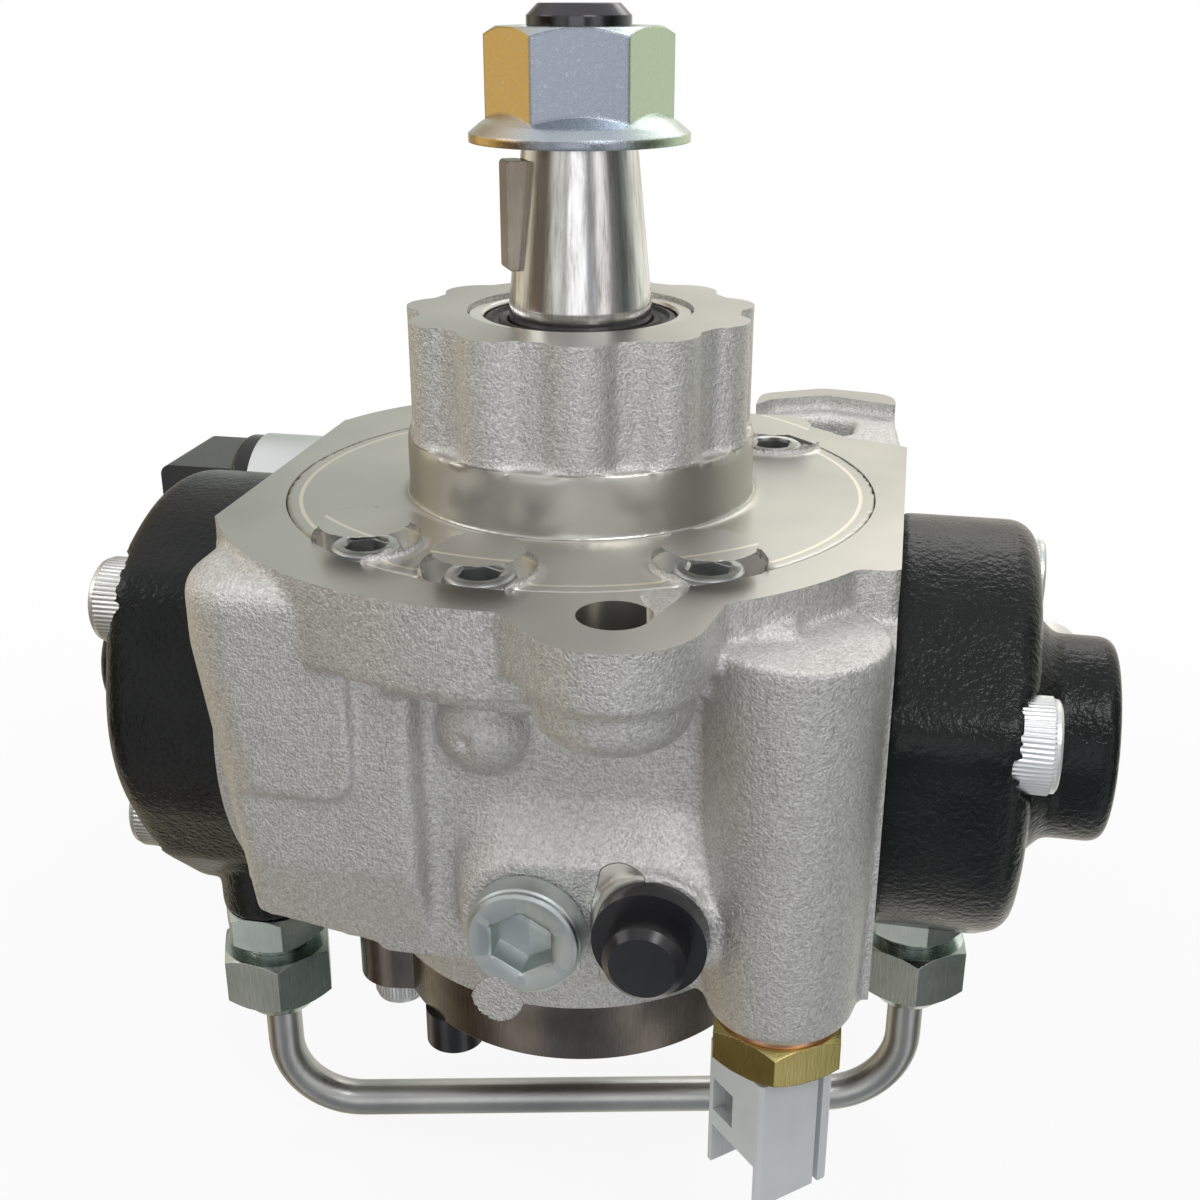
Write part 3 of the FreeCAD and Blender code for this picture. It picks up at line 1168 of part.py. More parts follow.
UNION_PIECES = (union_fitting, union_nut, delivery_ball, delivery_spring)

SINGLE = (
    pump_body, front_cover, front_cover_screws, front_cover_seal, shaft_oil_seal, front_bearing, drive_shaft,
    shaft_key, shaft_nut, ring_cam, ring_cam_bush, thrust_washers, rear_bush, feed_inner_rotor, feed_outer_rotor,
    feed_pump_housing, feed_cover, feed_cover_seal, feed_cover_screws, return_cap, right_head, left_head,
    transfer_pipe, temperature_sensor, sensor_washer, sensor_connector, sensor_terminals, regulator_plug,
    regulating_piston, regulating_spring, inlet_cap, metering_valve_body, metering_valve_connector,
    metering_needle, metering_spring, rail_outlet_fitting,
)


def build():
    """Every piece by name."""
    pieces = {}
    for maker in SINGLE:
        pieces[maker.__name__] = maker()
    for maker in PAIRED:
        shape = maker()
        pieces["right_" + maker.__name__] = shape
        pieces["left_" + maker.__name__] = half_turn(shape)
    for maker in UNION_PIECES:
        pieces["right_" + maker.__name__] = maker(RIGHT_UNION)
        pieces["left_" + maker.__name__] = half_turn(maker(LEFT_UNION))
    return pieces


os.makedirs("parts", exist_ok=True)
for node, piece in build().items():
    piece.exportStep("parts/" + node + ".step")
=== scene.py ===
"""Diesel injection pump: finishes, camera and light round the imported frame."""
import json
import math

import bmesh
import bpy
from mathutils import Matrix, Vector


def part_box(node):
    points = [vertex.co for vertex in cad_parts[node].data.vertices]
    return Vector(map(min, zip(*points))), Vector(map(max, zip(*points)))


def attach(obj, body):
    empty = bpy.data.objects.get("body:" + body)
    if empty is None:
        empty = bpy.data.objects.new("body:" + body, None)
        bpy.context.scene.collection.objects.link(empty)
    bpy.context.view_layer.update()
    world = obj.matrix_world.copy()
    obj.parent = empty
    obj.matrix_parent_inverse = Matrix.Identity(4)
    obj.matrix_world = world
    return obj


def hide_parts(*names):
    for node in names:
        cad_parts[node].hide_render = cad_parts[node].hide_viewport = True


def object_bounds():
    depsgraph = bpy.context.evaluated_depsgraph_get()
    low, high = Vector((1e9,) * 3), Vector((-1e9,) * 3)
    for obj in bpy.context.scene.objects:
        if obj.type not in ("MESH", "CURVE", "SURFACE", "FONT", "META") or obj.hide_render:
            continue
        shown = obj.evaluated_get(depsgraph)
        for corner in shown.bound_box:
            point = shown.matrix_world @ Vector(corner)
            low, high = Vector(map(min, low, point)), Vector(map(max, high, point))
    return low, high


MM = 0.001

# Camera of the photograph, in the frame of the part
CAMERA_PLACE = Vector((44.55, -206.5, 67.46)) * MM
CAMERA_PITCH = math.radians(22.1)
CAMERA_YAW = math.radians(11.43)
CAMERA_LENS = 45.03
SENSOR = 36.0

# The body that all the fixed pieces ride on
FIXED_BODY = "housing"

# Places of the casting's machined cuts and of the screws, in millimetres
COVER_R = 42.7
COVER_RECESS_DEPTH = 12.3
# radius of a painted highlight ring on the machined face, in place of a fine groove
COVER_GROOVE_HIGHLIGHT_R = 40.6
PILOT_R = 25.0
COLLAR_TOP = 9.0
HUB_TOP = 26.0
POCKET_R = 7.4
POCKET_DEPTH = 6.5
COVER_SCREW_R = 37.8
COVER_SCREW_ANGLES = (47.4, 127.4, 233.4, 262.4, 307.4)
MOUNT_R = 50.0
MOUNT_ANGLES = (286.4, 106.4)
MOUNT_HOLE_R = 5.0
MOUNT_HOLE_DEPTH = 12.6
PLUG_X = 2.1
PLUG_Z = -47.1
PLUG_SEAT_Y = -44.0
CAP_X = 18.8
CAP_Z = -45.2
PLUNGER_Z = -34.0
SIDE_X = 46.8
BODY_REAR = -69.6
FAR = 200.0
HEAD_BOLTS = ((17.7, 17.4), (-24.6, 10.4), (14.3, -19.3))
HEAD_BOLT_SEAT_X = 60.5
FEED_SCREWS = ((203.0, 30.5), (98.4, 30.5), (348.4, 30.5))
FEED_COVER_BOTTOM = -80.2

# Socket screws: shank radius, head radius, head height, length under the head, socket across flats
M6_SCREW = (3.0, 4.9, 6.0, 14.0, 5.0)
M8_SCREW = (4.0, 6.5, 8.0, 21.3, 6.0)
M5_SCREW = (2.5, 4.2, 5.0, 17.6, 4.0)
FRONT_PLUG = (5.9, 7.8, 4.5, 6.0, 8.0)

# Profiles of the oil seal's case and lip: radius and level
SEAL_CASE = ((15.9, 19.6), (15.9, 25.2), (15.6, 25.55), (13.9, 25.55), (13.6, 25.2), (13.6, 24.4),
             (14.9, 24.4), (14.9, 19.6))
SEAL_LIP = ((14.8, 24.3), (13.5, 24.35), (13.4, 24.9), (12.6, 25.1), (12.2, 24.6), (11.6, 24.5),
            (11.2, 25.0), (10.4, 24.7), (10.2, 24.0), (10.9, 22.6), (12.6, 23.2), (14.8, 23.2))

# Voxel in millimetres and smoothing passes of each remeshed casting
BODY_FINENESS = (0.6, 7)
COVER_FINENESS = (0.5, 4)
HEAD_FINENESS = (0.6, 9)

# Lamps: name, place, point aimed at, width, power
LAMPS = (
    ("key_lamp", (0.40, -0.50, 0.75), (0, 0, -0.03), 0.35, 2.4),
    ("left_lamp", (-0.75, -0.30, 0.40), (0, 0, -0.03), 0.45, 1.3),
    ("front_lamp", (0.10, -0.85, 0.10), (0, 0, -0.04), 0.5, 0.8),
    ("back_lamp", (0.10, 0.60, 0.55), (0, 0, 0), 0.4, 0.9),
)

# Walls that glossy surfaces reflect: share of the way round from -X through -Y, and colour
WALLS = (
    (0.000, (0.60, 0.55, 0.45)), (0.045, (0.16, 0.12, 0.08)), (0.110, (0.12, 0.10, 0.08)),
    (0.150, (0.66, 0.64, 0.60)), (0.190, (0.80, 0.80, 0.78)), (0.225, (0.30, 0.31, 0.33)),
    (0.300, (0.26, 0.28, 0.31)), (0.345, (0.42, 0.43, 0.44)), (0.372, (1.00, 1.00, 1.00)),
    (0.412, (1.00, 1.00, 1.00)), (0.436, (0.22, 0.22, 0.22)), (0.500, (0.08, 0.09, 0.08)),
    (0.545, (0.30, 0.31, 0.29)), (0.610, (0.85, 0.88, 0.80)), (0.720, (0.98, 0.93, 0.82)),
    (0.820, (0.58, 0.62, 0.57)), (0.865, (0.40, 0.34, 0.26)), (0.900, (0.34, 0.28, 0.20)),
    (0.940, (0.92, 0.84, 0.62)), (1.000, (0.60, 0.55, 0.45)),
)

# Painted reflections on the chromated nut: colours by the way its surface faces, from -X through -Y
NUT_PAINTED_REFLECTIONS = (
    (0.00, (0.44, 0.44, 0.36)), (0.08, (0.66, 0.44, 0.15)), (0.16, (0.66, 0.44, 0.15)),
    (0.22, (0.29, 0.32, 0.37)), (0.34, (0.29, 0.32, 0.37)), (0.40, (0.50, 0.60, 0.44)),
    (0.50, (0.50, 0.60, 0.44)), (0.58, (0.42, 0.46, 0.48)), (0.66, (0.42, 0.46, 0.48)),
    (0.74, (0.60, 0.50, 0.28)), (0.84, (0.60, 0.50, 0.28)), (0.92, (0.40, 0.44, 0.42)),
)


def polar(radius, angle):
    """X and Y of a point at an angle in degrees."""
    turn = math.radians(angle)
    return radius * math.cos(turn), radius * math.sin(turn)


def rod_between(shape, radius, start, end, sides=96):
    """Closed cylinder between two points, added to a bmesh."""
    start = Vector(start) * MM
    end = Vector(end) * MM
    run = end - start
    turn = Vector((0, 0, 1)).rotation_difference(run)
    place = Matrix.Translation((start + end) / 2) @ turn.to_matrix().to_4x4()
    bmesh.ops.create_cone(shape, cap_ends=True, segments=sides, radius1=radius * MM, radius2=radius * MM,
                          depth=run.length, matrix=place)


def made(name, shape):
    """Object from a bmesh, linked to the scene."""
    mesh = bpy.data.meshes.new(name)
    shape.to_mesh(mesh)
    shape.free()
    piece = bpy.data.objects.new(name, mesh)
    bpy.context.scene.collection.objects.link(piece)
    return piece


def welded(node):
    """Bmesh of a node with its doubled points joined."""
    shape = bmesh.new()
    shape.from_mesh(node.data)
    bmesh.ops.remove_doubles(shape, verts=shape.verts, dist=2e-6)
    return shape


def baked(piece):
    """Mesh of a piece with its modifiers applied."""
    bpy.context.view_layer.update()
    seen = piece.evaluated_get(bpy.context.evaluated_depsgraph_get())
    mesh = bpy.data.meshes.new_from_object(seen)
    piece.modifiers.clear()
    piece.data = mesh


def discard(piece):
    """Remove a helper object."""
    bpy.data.objects.remove(piece, do_unlink=True)


def boolean(piece, other, operation, solver, own=False):
    """Add a Boolean modifier."""
    step = piece.modifiers.new(operation, "BOOLEAN")
    step.operation = operation
    step.object = other
    step.solver = solver
    if own:
        step.use_self = True


def grown(shape, planes):
    """Copy the faces that lie in the given planes outwards, so that a cut there leaves a crisp edge."""
    for axis, level in planes:
        faces = [face for face in shape.faces if abs(face.normal[axis]) > 0.999
                 and all(abs(corner.co[axis] - level * MM) < 2e-6 for corner in face.verts)]
        if not faces:
            continue
        outward = math.copysign(1.0, faces[0].normal[axis])
        step = Vector((0, 0, 0))
        step[axis] = outward
        copy = bmesh.ops.duplicate(shape, geom=faces)["geom"]
        base = [item for item in copy if isinstance(item, bmesh.types.BMFace)]
        corners = list({corner for face in base for corner in face.verts})
        bmesh.ops.translate(shape, vec=-step * MM, verts=corners)
        lifted = bmesh.ops.extrude_face_region(shape, geom=base, use_keep_orig=True)["geom"]
        tops = [item for item in lifted if isinstance(item, bmesh.types.BMVert)]
        bmesh.ops.translate(shape, vec=step * 4 * MM, verts=tops)
        bmesh.ops.reverse_faces(shape, faces=base)


def hull(shape, points):
    """Convex solid round points, added to a bmesh."""
    corners = [shape.verts.new(Vector(point) * MM) for point in points]
    found = bmesh.ops.convex_hull(shape, input=corners)
    inside = found["geom_interior"] + found["geom_unused"]
    loose = {item for item in inside if isinstance(item, bmesh.types.BMVert)}
    bmesh.ops.delete(shape, geom=list(loose), context="VERTS")


def casting(node, name, fills, planes, fineness, limits, rods=(), hulls=()):
    """Copy of a cast node with its edges rounded as a casting's, and its machined cuts kept as they are.

    Each fill is a rod (radius, start, end) that closes a machined bore while the copy is remeshed, and what it
    takes up beside the solid is cut again afterwards. Rods and hulls are material that is added for good.
    """
    voxel, passes = fineness
    shape = welded(node)
    source = made(name + "_source", shape.copy())
    fill_shape = bmesh.new()
    for fill in fills:
        rod_between(fill_shape, *fill)
    fill_piece = made(name + "_fills", fill_shape.copy())
    boolean(fill_piece, source, "DIFFERENCE", "EXACT", True)
    baked(fill_piece)
    grown(shape, planes)
    extra = bpy.data.meshes.new("extra")
    fill_shape.to_mesh(extra)
    fill_shape.free()
    shape.from_mesh(extra)
    for added in rods:
        rod_between(shape, *added)
    for points in hulls:
        hull(shape, points)
    piece = made(name, shape)
    remesh = piece.modifiers.new("voxels", "REMESH")
    remesh.mode = "VOXEL"
    remesh.voxel_size = voxel * MM
    smooth = piece.modifiers.new("smooth", "SMOOTH")
    smooth.factor = 0.5
    smooth.iterations = passes
    baked(piece)
    low, high = limits
    room = bmesh.new()
    bmesh.ops.create_cube(room, size=1.0)
    size = (Vector(high) - Vector(low)) * MM
    middle = (Vector(high) + Vector(low)) / 2 * MM
    for corner in room.verts:
        corner.co = Vector([corner.co[i] * size[i] + middle[i] for i in range(3)])
    box = made(name + "_limits", room)
    boolean(piece, box, "INTERSECT", "MANIFOLD")
    boolean(piece, fill_piece, "DIFFERENCE", "MANIFOLD")
    baked(piece)
    for helper in (source, fill_piece, box):
        discard(helper)
    return piece


def node_tree(name):
    """New material, with its nodes, its links and its Principled shader."""
    material = bpy.data.materials.new(name)
    material.use_nodes = True
    tree = material.node_tree
    shader = tree.nodes["Principled BSDF"]
    return material, tree, shader


def add(tree, kind, **settings):
    """Node of a kind, with its settings."""
    node = tree.nodes.new(kind)
    for key, value in settings.items():
        setattr(node, key, value)
    return node


def put(tree, socket, value):
    """Link a node's output to a socket, or set the socket's value."""
    if isinstance(value, bpy.types.NodeSocket):
        tree.links.new(value, socket)
    else:
        socket.default_value = value


def math_node(tree, operation, first, second=0.0, clamp=False):
    """Result of a Math node."""
    node = add(tree, "ShaderNodeMath", operation=operation, use_clamp=clamp)
    put(tree, node.inputs[0], first)
    put(tree, node.inputs[1], second)
    return node.outputs[0]


def noise(tree, place, scale, detail=3.0, roughness=0.5):
    """Noise value at a place, with its scale in features per metre."""
    node = add(tree, "ShaderNodeTexNoise")
    put(tree, node.inputs["Vector"], place)
    node.inputs["Scale"].default_value = scale
    node.inputs["Detail"].default_value = detail
    node.inputs["Roughness"].default_value = roughness
    return node.outputs["Fac"]


def ramp(tree, value, stops):
    """Colour ramp with (position, colour) stops."""
    node = add(tree, "ShaderNodeValToRGB")
    put(tree, node.inputs[0], value)
    elements = node.color_ramp.elements
    while len(elements) < len(stops):
        elements.new(0.5)
    for element, (position, colour) in zip(elements, stops):
        element.position = position
        element.color = (*colour, 1.0)
    return node.outputs["Color"]


def span(tree, value, low, high, out_low=0.0, out_high=1.0):
    """Map a range of values to another one, clamped."""
    node = add(tree, "ShaderNodeMapRange")
    put(tree, node.inputs["Value"], value)
    for name, number in (("From Min", low), ("From Max", high), ("To Min", out_low), ("To Max", out_high)):
        put(tree, node.inputs[name], number)
    return node.outputs["Result"]


def mix(tree, factor, first, second):
    """Blend of two colours."""
    node = add(tree, "ShaderNodeMix", data_type="RGBA")
    put(tree, node.inputs["Factor"], factor)
    for socket, value in ((node.inputs[6], first), (node.inputs[7], second)):
        if isinstance(value, bpy.types.NodeSocket):
            tree.links.new(value, socket)
        else:
            socket.default_value = (*value, 1.0)
    return node.outputs[2]


def bump(tree, height, distance, strength=1.0, normal=None):
    """Bump from a height value, with its full height in metres."""
    node = add(tree, "ShaderNodeBump")
    put(tree, node.inputs["Height"], height)
    node.inputs["Distance"].default_value = distance
    node.inputs["Strength"].default_value = strength
    if normal is not None:
        put(tree, node.inputs["Normal"], normal)
    return node.outputs["Normal"]


def stretched(tree, place, scale):
    """Coordinates stretched along the axes."""
    node = add(tree, "ShaderNodeMapping")
    put(tree, node.inputs["Vector"], place)
    node.inputs["Scale"].default_value = scale
    return node.outputs["Vector"]


def object_place(tree):
    """Object coordinates, which are the frame's own in metres."""
    return add(tree, "ShaderNodeTexCoord").outputs["Object"]


def product(tree, first, second):
    """Product of two values."""
    return math_node(tree, "MULTIPLY", first, second)


def machined_share(tree, parts, radius):
    """1 where the casting is machined: the front faces, the collar, the screw pockets and the ear holes."""
    level = parts.outputs["Z"]
    facing = add(tree, "ShaderNodeSeparateXYZ")
    put(tree, facing.inputs[0], add(tree, "ShaderNodeNewGeometry").outputs["Normal"])
    upward = span(tree, facing.outputs["Z"], 0.97, 0.995)
    flat = product(tree, upward, span(tree, level, -0.4 * MM, -0.2 * MM))
    below_top = span(tree, level, (COLLAR_TOP + 0.2) * MM, (COLLAR_TOP - 0.1) * MM)
    collar = product(tree, below_top, span(tree, level, -0.1 * MM, 0.1 * MM))
    collar = product(tree, collar, span(tree, radius, (PILOT_R + 0.4) * MM, (PILOT_R + 0.2) * MM))
    machined = math_node(tree, "MAXIMUM", flat, collar, True)
    above = span(tree, level, -(POCKET_DEPTH + 0.4) * MM, -POCKET_DEPTH * MM)
    pocket = product(tree, above, span(tree, radius, (COVER_R + 0.2) * MM, (COVER_R - 0.1) * MM))
    pocket = product(tree, pocket, math_node(tree, "LESS_THAN", level, 0.3 * MM))
    machined = math_node(tree, "MAXIMUM", machined, pocket)
    plan = add(tree, "ShaderNodeCombineXYZ")
    put(tree, plan.inputs[0], parts.outputs["X"])
    put(tree, plan.inputs[1], parts.outputs["Y"])
    for angle in MOUNT_ANGLES:
        x, y = polar(MOUNT_R, angle)
        away = add(tree, "ShaderNodeVectorMath", operation="DISTANCE")
        put(tree, away.inputs[0], plan.outputs[0])
        away.inputs[1].default_value = (x * MM, y * MM, 0.0)
        hole = span(tree, away.outputs["Value"], (MOUNT_HOLE_R - 0.25) * MM, (MOUNT_HOLE_R - 0.35) * MM)
        machined = math_node(tree, "MAXIMUM", machined, hole)
    return machined


def cast_aluminium():
    """Blasted casting, with turned faces where it is machined."""
    material, tree, shader = node_tree("cast_aluminium")
    place = object_place(tree)
    parts = add(tree, "ShaderNodeSeparateXYZ")
    put(tree, parts.inputs[0], place)
    x2 = product(tree, parts.outputs["X"], parts.outputs["X"])
    y2 = product(tree, parts.outputs["Y"], parts.outputs["Y"])
    radius = math_node(tree, "SQRT", math_node(tree, "ADD", x2, y2))
    machined = machined_share(tree, parts, radius)
    grain = noise(tree, place, 2700.0, 3.0, 0.6)
    coarse = noise(tree, place, 1100.0, 2.0, 0.5)
    tone = math_node(tree, "ADD", product(tree, grain, 0.75), product(tree, coarse, 0.25))
    cast_colour = ramp(tree, tone, [
        (0.34, (0.50, 0.49, 0.475)), (0.50, (0.66, 0.65, 0.635)), (0.64, (0.80, 0.795, 0.78))])
    patch = noise(tree, place, 28.0, 3.0, 0.5)
    face_colour = ramp(tree, patch, [(0.3, (0.45, 0.44, 0.415)), (0.7, (0.60, 0.585, 0.54))])
    # painted highlight: a thin light ring on the machined face where a fine groove would catch the light
    groove_highlight = math_node(tree, "ABSOLUTE", math_node(tree, "SUBTRACT", radius, COVER_GROOVE_HIGHLIGHT_R * MM))
    groove_highlight = product(tree, span(tree, groove_highlight, 0.35 * MM, 0.20 * MM), machined)
    face_colour = mix(tree, groove_highlight, face_colour, (0.80, 0.75, 0.64))
    put(tree, shader.inputs["Base Color"], mix(tree, machined, cast_colour, face_colour))
    shader.inputs["Metallic"].default_value = 1.0
    put(tree, shader.inputs["Roughness"], span(tree, machined, 0.0, 1.0, 0.50, 0.34))
    rings = add(tree, "ShaderNodeTexNoise")
    ring_place = add(tree, "ShaderNodeCombineXYZ")
    put(tree, ring_place.inputs[0], radius)
    put(tree, rings.inputs["Vector"], ring_place.outputs[0])
    rings.inputs["Scale"].default_value = 4200.0
    height = math_node(tree, "ADD", grain, product(tree, coarse, 0.6))
    cast_height = product(tree, height, math_node(tree, "SUBTRACT", 1.0, machined))
    ring_height = product(tree, product(tree, rings.outputs["Fac"], 0.05), machined)
    height = math_node(tree, "ADD", cast_height, ring_height)
    put(tree, shader.inputs["Normal"], bump(tree, height, 0.24 * MM))
    return material


def black_paint():
    """Thick semi-gloss black paint with orange peel."""
    material, tree, shader = node_tree("black_paint")
    place = object_place(tree)
    peel = noise(tree, place, 1250.0, 2.5, 0.55)
    swell = noise(tree, place, 120.0, 2.0, 0.5)
    # the faint green-blue cast of the black is a painted reflection of green surroundings; the lighter and
    # darker patches are the paint's own
    colour = ramp(tree, swell, [(0.3, (0.003, 0.0045, 0.0045)), (0.7, (0.009, 0.010, 0.010))])
    put(tree, shader.inputs["Base Color"], colour)
    put(tree, shader.inputs["Roughness"], span(tree, swell, 0.3, 0.7, 0.16, 0.26))
    shader.inputs["Specular IOR Level"].default_value = 0.24
    shader.inputs["Coat Weight"].default_value = 0.05
    shader.inputs["Coat Roughness"].default_value = 0.10
    height = math_node(tree, "ADD", peel, product(tree, swell, 1.5))
    put(tree, shader.inputs["Normal"], bump(tree, height, 0.24 * MM))
    return material


def rounded(tree, radius):
    """Normal with the edges rounded to a radius in millimetres."""
    node = add(tree, "ShaderNodeBevel", samples=4)
    node.inputs["Radius"].default_value = radius * MM
    return node.outputs[0]


def plated(name, dark, bright, roughness, grain=0.03):
    """Plated or ground metal with soft colour changes and faint marks."""
    material, tree, shader = node_tree(name)
    place = object_place(tree)
    patch = noise(tree, place, 60.0, 3.0, 0.5)
    fine = noise(tree, stretched(tree, place, (1.0, 1.0, 0.12)), 2600.0, 2.0, 0.6)
    put(tree, shader.inputs["Base Color"], ramp(tree, patch, [(0.3, dark), (0.7, bright)]))
    shader.inputs["Metallic"].default_value = 1.0
    put(tree, shader.inputs["Roughness"], span(tree, fine, 0.2, 0.8, roughness * 0.8, roughness * 1.25))
    put(tree, shader.inputs["Normal"], bump(tree, fine, grain * MM, 0.5, rounded(tree, 0.25)))
    return material


def chromated_nut_painted_reflections():
    """Yellow-chromated zinc with painted reflections: its colour changes with the way each face points round
    the nut, and faces that tilt upwards are painted paler and bluer.
    """
    material, tree, shader = node_tree("chromated_nut_painted_reflections")
    place = object_place(tree)
    facing = add(tree, "ShaderNodeSeparateXYZ")
    put(tree, facing.inputs[0], add(tree, "ShaderNodeTexCoord").outputs["Normal"])
    # painted reflections: the colour is chosen by the compass direction of each face's normal
    compass = math_node(tree, "ARCTAN2", facing.outputs["Y"], facing.outputs["X"])
    painted_reflection_and_fleck_tint = ramp(tree, span(tree, compass, -math.pi, math.pi), NUT_PAINTED_REFLECTIONS)
    # painted reflection of the pale top: faces that tilt upwards are mixed towards a pale blue grey
    upward_reflection_share = span(tree, facing.outputs["Z"], 0.15, 0.45)
    painted_reflection_and_fleck_tint = mix(tree, product(tree, upward_reflection_share, 0.55), painted_reflection_and_fleck_tint, (0.62, 0.70, 0.74))
    # random light flecks in the plating, the nut's own
    fleck = noise(tree, place, 1900.0, 3.0, 0.65)
    painted_reflection_and_fleck_tint = mix(tree, span(tree, fleck, 0.56, 0.74, 0.0, 0.5), painted_reflection_and_fleck_tint, (0.70, 0.73, 0.76))
    put(tree, shader.inputs["Base Color"], painted_reflection_and_fleck_tint)
    shader.inputs["Metallic"].default_value = 1.0
    put(tree, shader.inputs["Roughness"], span(tree, fleck, 0.3, 0.7, 0.20, 0.34))
    put(tree, shader.inputs["Normal"], bump(tree, fleck, 0.03 * MM, 0.6, rounded(tree, 0.6)))
    return material


def ground_shaft(nut_top):
    """Ground taper whose fine lines along it are painted as strong light and dark reflection streaks, and a
    dark thread above the nut's top, given in metres.
    """
    material, tree, shader = node_tree("ground_shaft")
    place = object_place(tree)
    parts = add(tree, "ShaderNodeSeparateXYZ")
    put(tree, parts.inputs[0], place)
    # painted reflections: light and dark bands round the axis, as a ground taper reflects its surroundings
    painted_reflection_streak = noise(tree, stretched(tree, place, (1.0, 1.0, 0.015)), 900.0, 4.0, 0.7)
    steel = ramp(tree, painted_reflection_streak, [
        (0.30, (0.40, 0.38, 0.36)), (0.48, (0.70, 0.69, 0.68)), (0.62, (0.84, 0.83, 0.82))])
    stub = span(tree, parts.outputs["Z"], nut_top - 0.4 * MM, nut_top - 0.2 * MM)
    put(tree, shader.inputs["Base Color"], mix(tree, stub, steel, (0.085, 0.082, 0.090)))
    shader.inputs["Metallic"].default_value = 1.0
    put(tree, shader.inputs["Roughness"], span(tree, painted_reflection_streak, 0.3, 0.7, 0.22, 0.10))
    put(tree, shader.inputs["Normal"], bump(tree, painted_reflection_streak, 0.006 * MM, 0.6, rounded(tree, 0.3)))
    return material


def moulded(name, dark, bright, roughness):
    """Moulded plastic or rubber with a faint grain."""
    material, tree, shader = node_tree(name)
    place = object_place(tree)
    grain = noise(tree, place, 1400.0, 2.0, 0.5)
    patch = noise(tree, place, 90.0, 2.0, 0.5)
    put(tree, shader.inputs["Base Color"], ramp(tree, patch, [(0.3, dark), (0.7, bright)]))
    put(tree, shader.inputs["Roughness"], span(tree, grain, 0.3, 0.7, roughness * 0.85, roughness * 1.15))
    put(tree, shader.inputs["Normal"], bump(tree, grain, 0.02 * MM, 0.5))
    return material


def finishes():
    """Material of each slot of the record."""
    return {
        "cast_aluminium": cast_aluminium(),
        "black_paint": black_paint(),
        "zinc": plated("zinc", (0.66, 0.68, 0.68), (0.78, 0.79, 0.79), 0.36, 0.02),
        "ground_steel": plated("ground_steel", (0.62, 0.61, 0.60), (0.80, 0.79, 0.77), 0.13, 0.015),
        "bronze": plated("bronze", (0.50, 0.34, 0.18), (0.66, 0.46, 0.26), 0.30),
        "spring_steel": plated("spring_steel", (0.25, 0.25, 0.26), (0.40, 0.40, 0.41), 0.35),
        "pipe_steel": plated("pipe_steel", (0.36, 0.36, 0.35), (0.52, 0.52, 0.50), 0.34),
        "seal_rubber": moulded("seal_rubber", (0.012, 0.012, 0.012), (0.03, 0.03, 0.03), 0.55),
        "brass": plated("brass", (0.40, 0.34, 0.11), (0.62, 0.53, 0.22), 0.24),
        "copper_washer": plated("copper_washer", (0.60, 0.33, 0.22), (0.74, 0.44, 0.30), 0.30),
        "grey_plastic": moulded("grey_plastic", (0.50, 0.52, 0.52), (0.58, 0.60, 0.60), 0.38),
        "black_plastic": moulded("black_plastic", (0.008, 0.008, 0.009), (0.018, 0.018, 0.02), 0.22),
    }


def special_finishes():
    """Finishes of single nodes that differ from the rest of their slot."""
    # painted reflection: the darker green-grey in this colour stands in for green surroundings reflected in
    # the union nuts and fittings
    union_zinc_painted_reflection = plated("zinc_union_painted_reflection", (0.30, 0.36, 0.33), (0.60, 0.64, 0.61), 0.24)
    return {
        "shaft_nut": chromated_nut_painted_reflections(),
        "drive_shaft": ground_shaft(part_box("shaft_nut")[1].z),
        "shaft_key": plated("key_steel", (0.24, 0.19, 0.14), (0.44, 0.39, 0.33), 0.30),
        "feed_cover": plated("rear_cover_steel", (0.07, 0.06, 0.052), (0.30, 0.26, 0.23), 0.26),
        "right_union_nut": union_zinc_painted_reflection,
        "left_union_nut": union_zinc_painted_reflection,
        "right_union_fitting": union_zinc_painted_reflection,
        "left_union_fitting": union_zinc_painted_reflection,
    }


def dress(frame, materials):
    """Give each node the material of its slot, or its own."""
    special = special_finishes()
    for subpart in frame["record"]["subparts"]:
        node = frame["nodes"][subpart["node"]]
        node.data.materials.clear()
        node.data.materials.append(special.get(subpart["node"], materials[subpart["material_slot"]]))


def soften(piece, chosen, passes):
    """Smooth only the points that the chosen test picks."""
    group = piece.vertex_groups.new(name="soft")
    group.add([point.index for point in piece.data.vertices if chosen(point.co)], 1.0, "REPLACE")
    smooth = piece.modifiers.new("soft", "SMOOTH")
    smooth.factor = 0.5
    smooth.iterations = passes
    smooth.vertex_group = "soft"
    baked(piece)
    piece.vertex_groups.clear()


def settle(piece, node, material, sharp):
    """Shade and dress a piece, with edges over the sharp angle kept crisp, and let it stand for its node."""
    piece.data.shade_smooth()
    piece.data.set_sharp_from_angle(angle=math.radians(sharp))
    piece.data.materials.clear()
    piece.data.materials.append(material)
    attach(piece, FIXED_BODY)
    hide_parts(node)


def plug_swell():
    """Points of the soft swelling that rises from the waist to the plug and the cap."""
    points = []
    for x, z, radius in ((PLUG_X, PLUG_Z, 9.4), (CAP_X, CAP_Z, 8.4)):
        for step in range(24):
            out, up = polar(radius, 15.0 * step)
            points.append((x + out, -43.6, z + up))
            points.append((x + out * 1.25, -38.0, z + up * 1.15 + (7.0 if up > 0 else 0.0)))
    return points


def cover_pockets():
    """Rods of the screw pockets in the cover, and the rods that close them in the body's flange ring."""
    pockets = []
    closed = []
    for angle in COVER_SCREW_ANGLES:
        x, y = polar(COVER_SCREW_R, angle)
        pockets.append((POCKET_R, (x, y, -POCKET_DEPTH), (x, y, 3)))
        closed.append((POCKET_R, (x, y, -8.0), (x, y, 3.5)))
    return pockets, closed


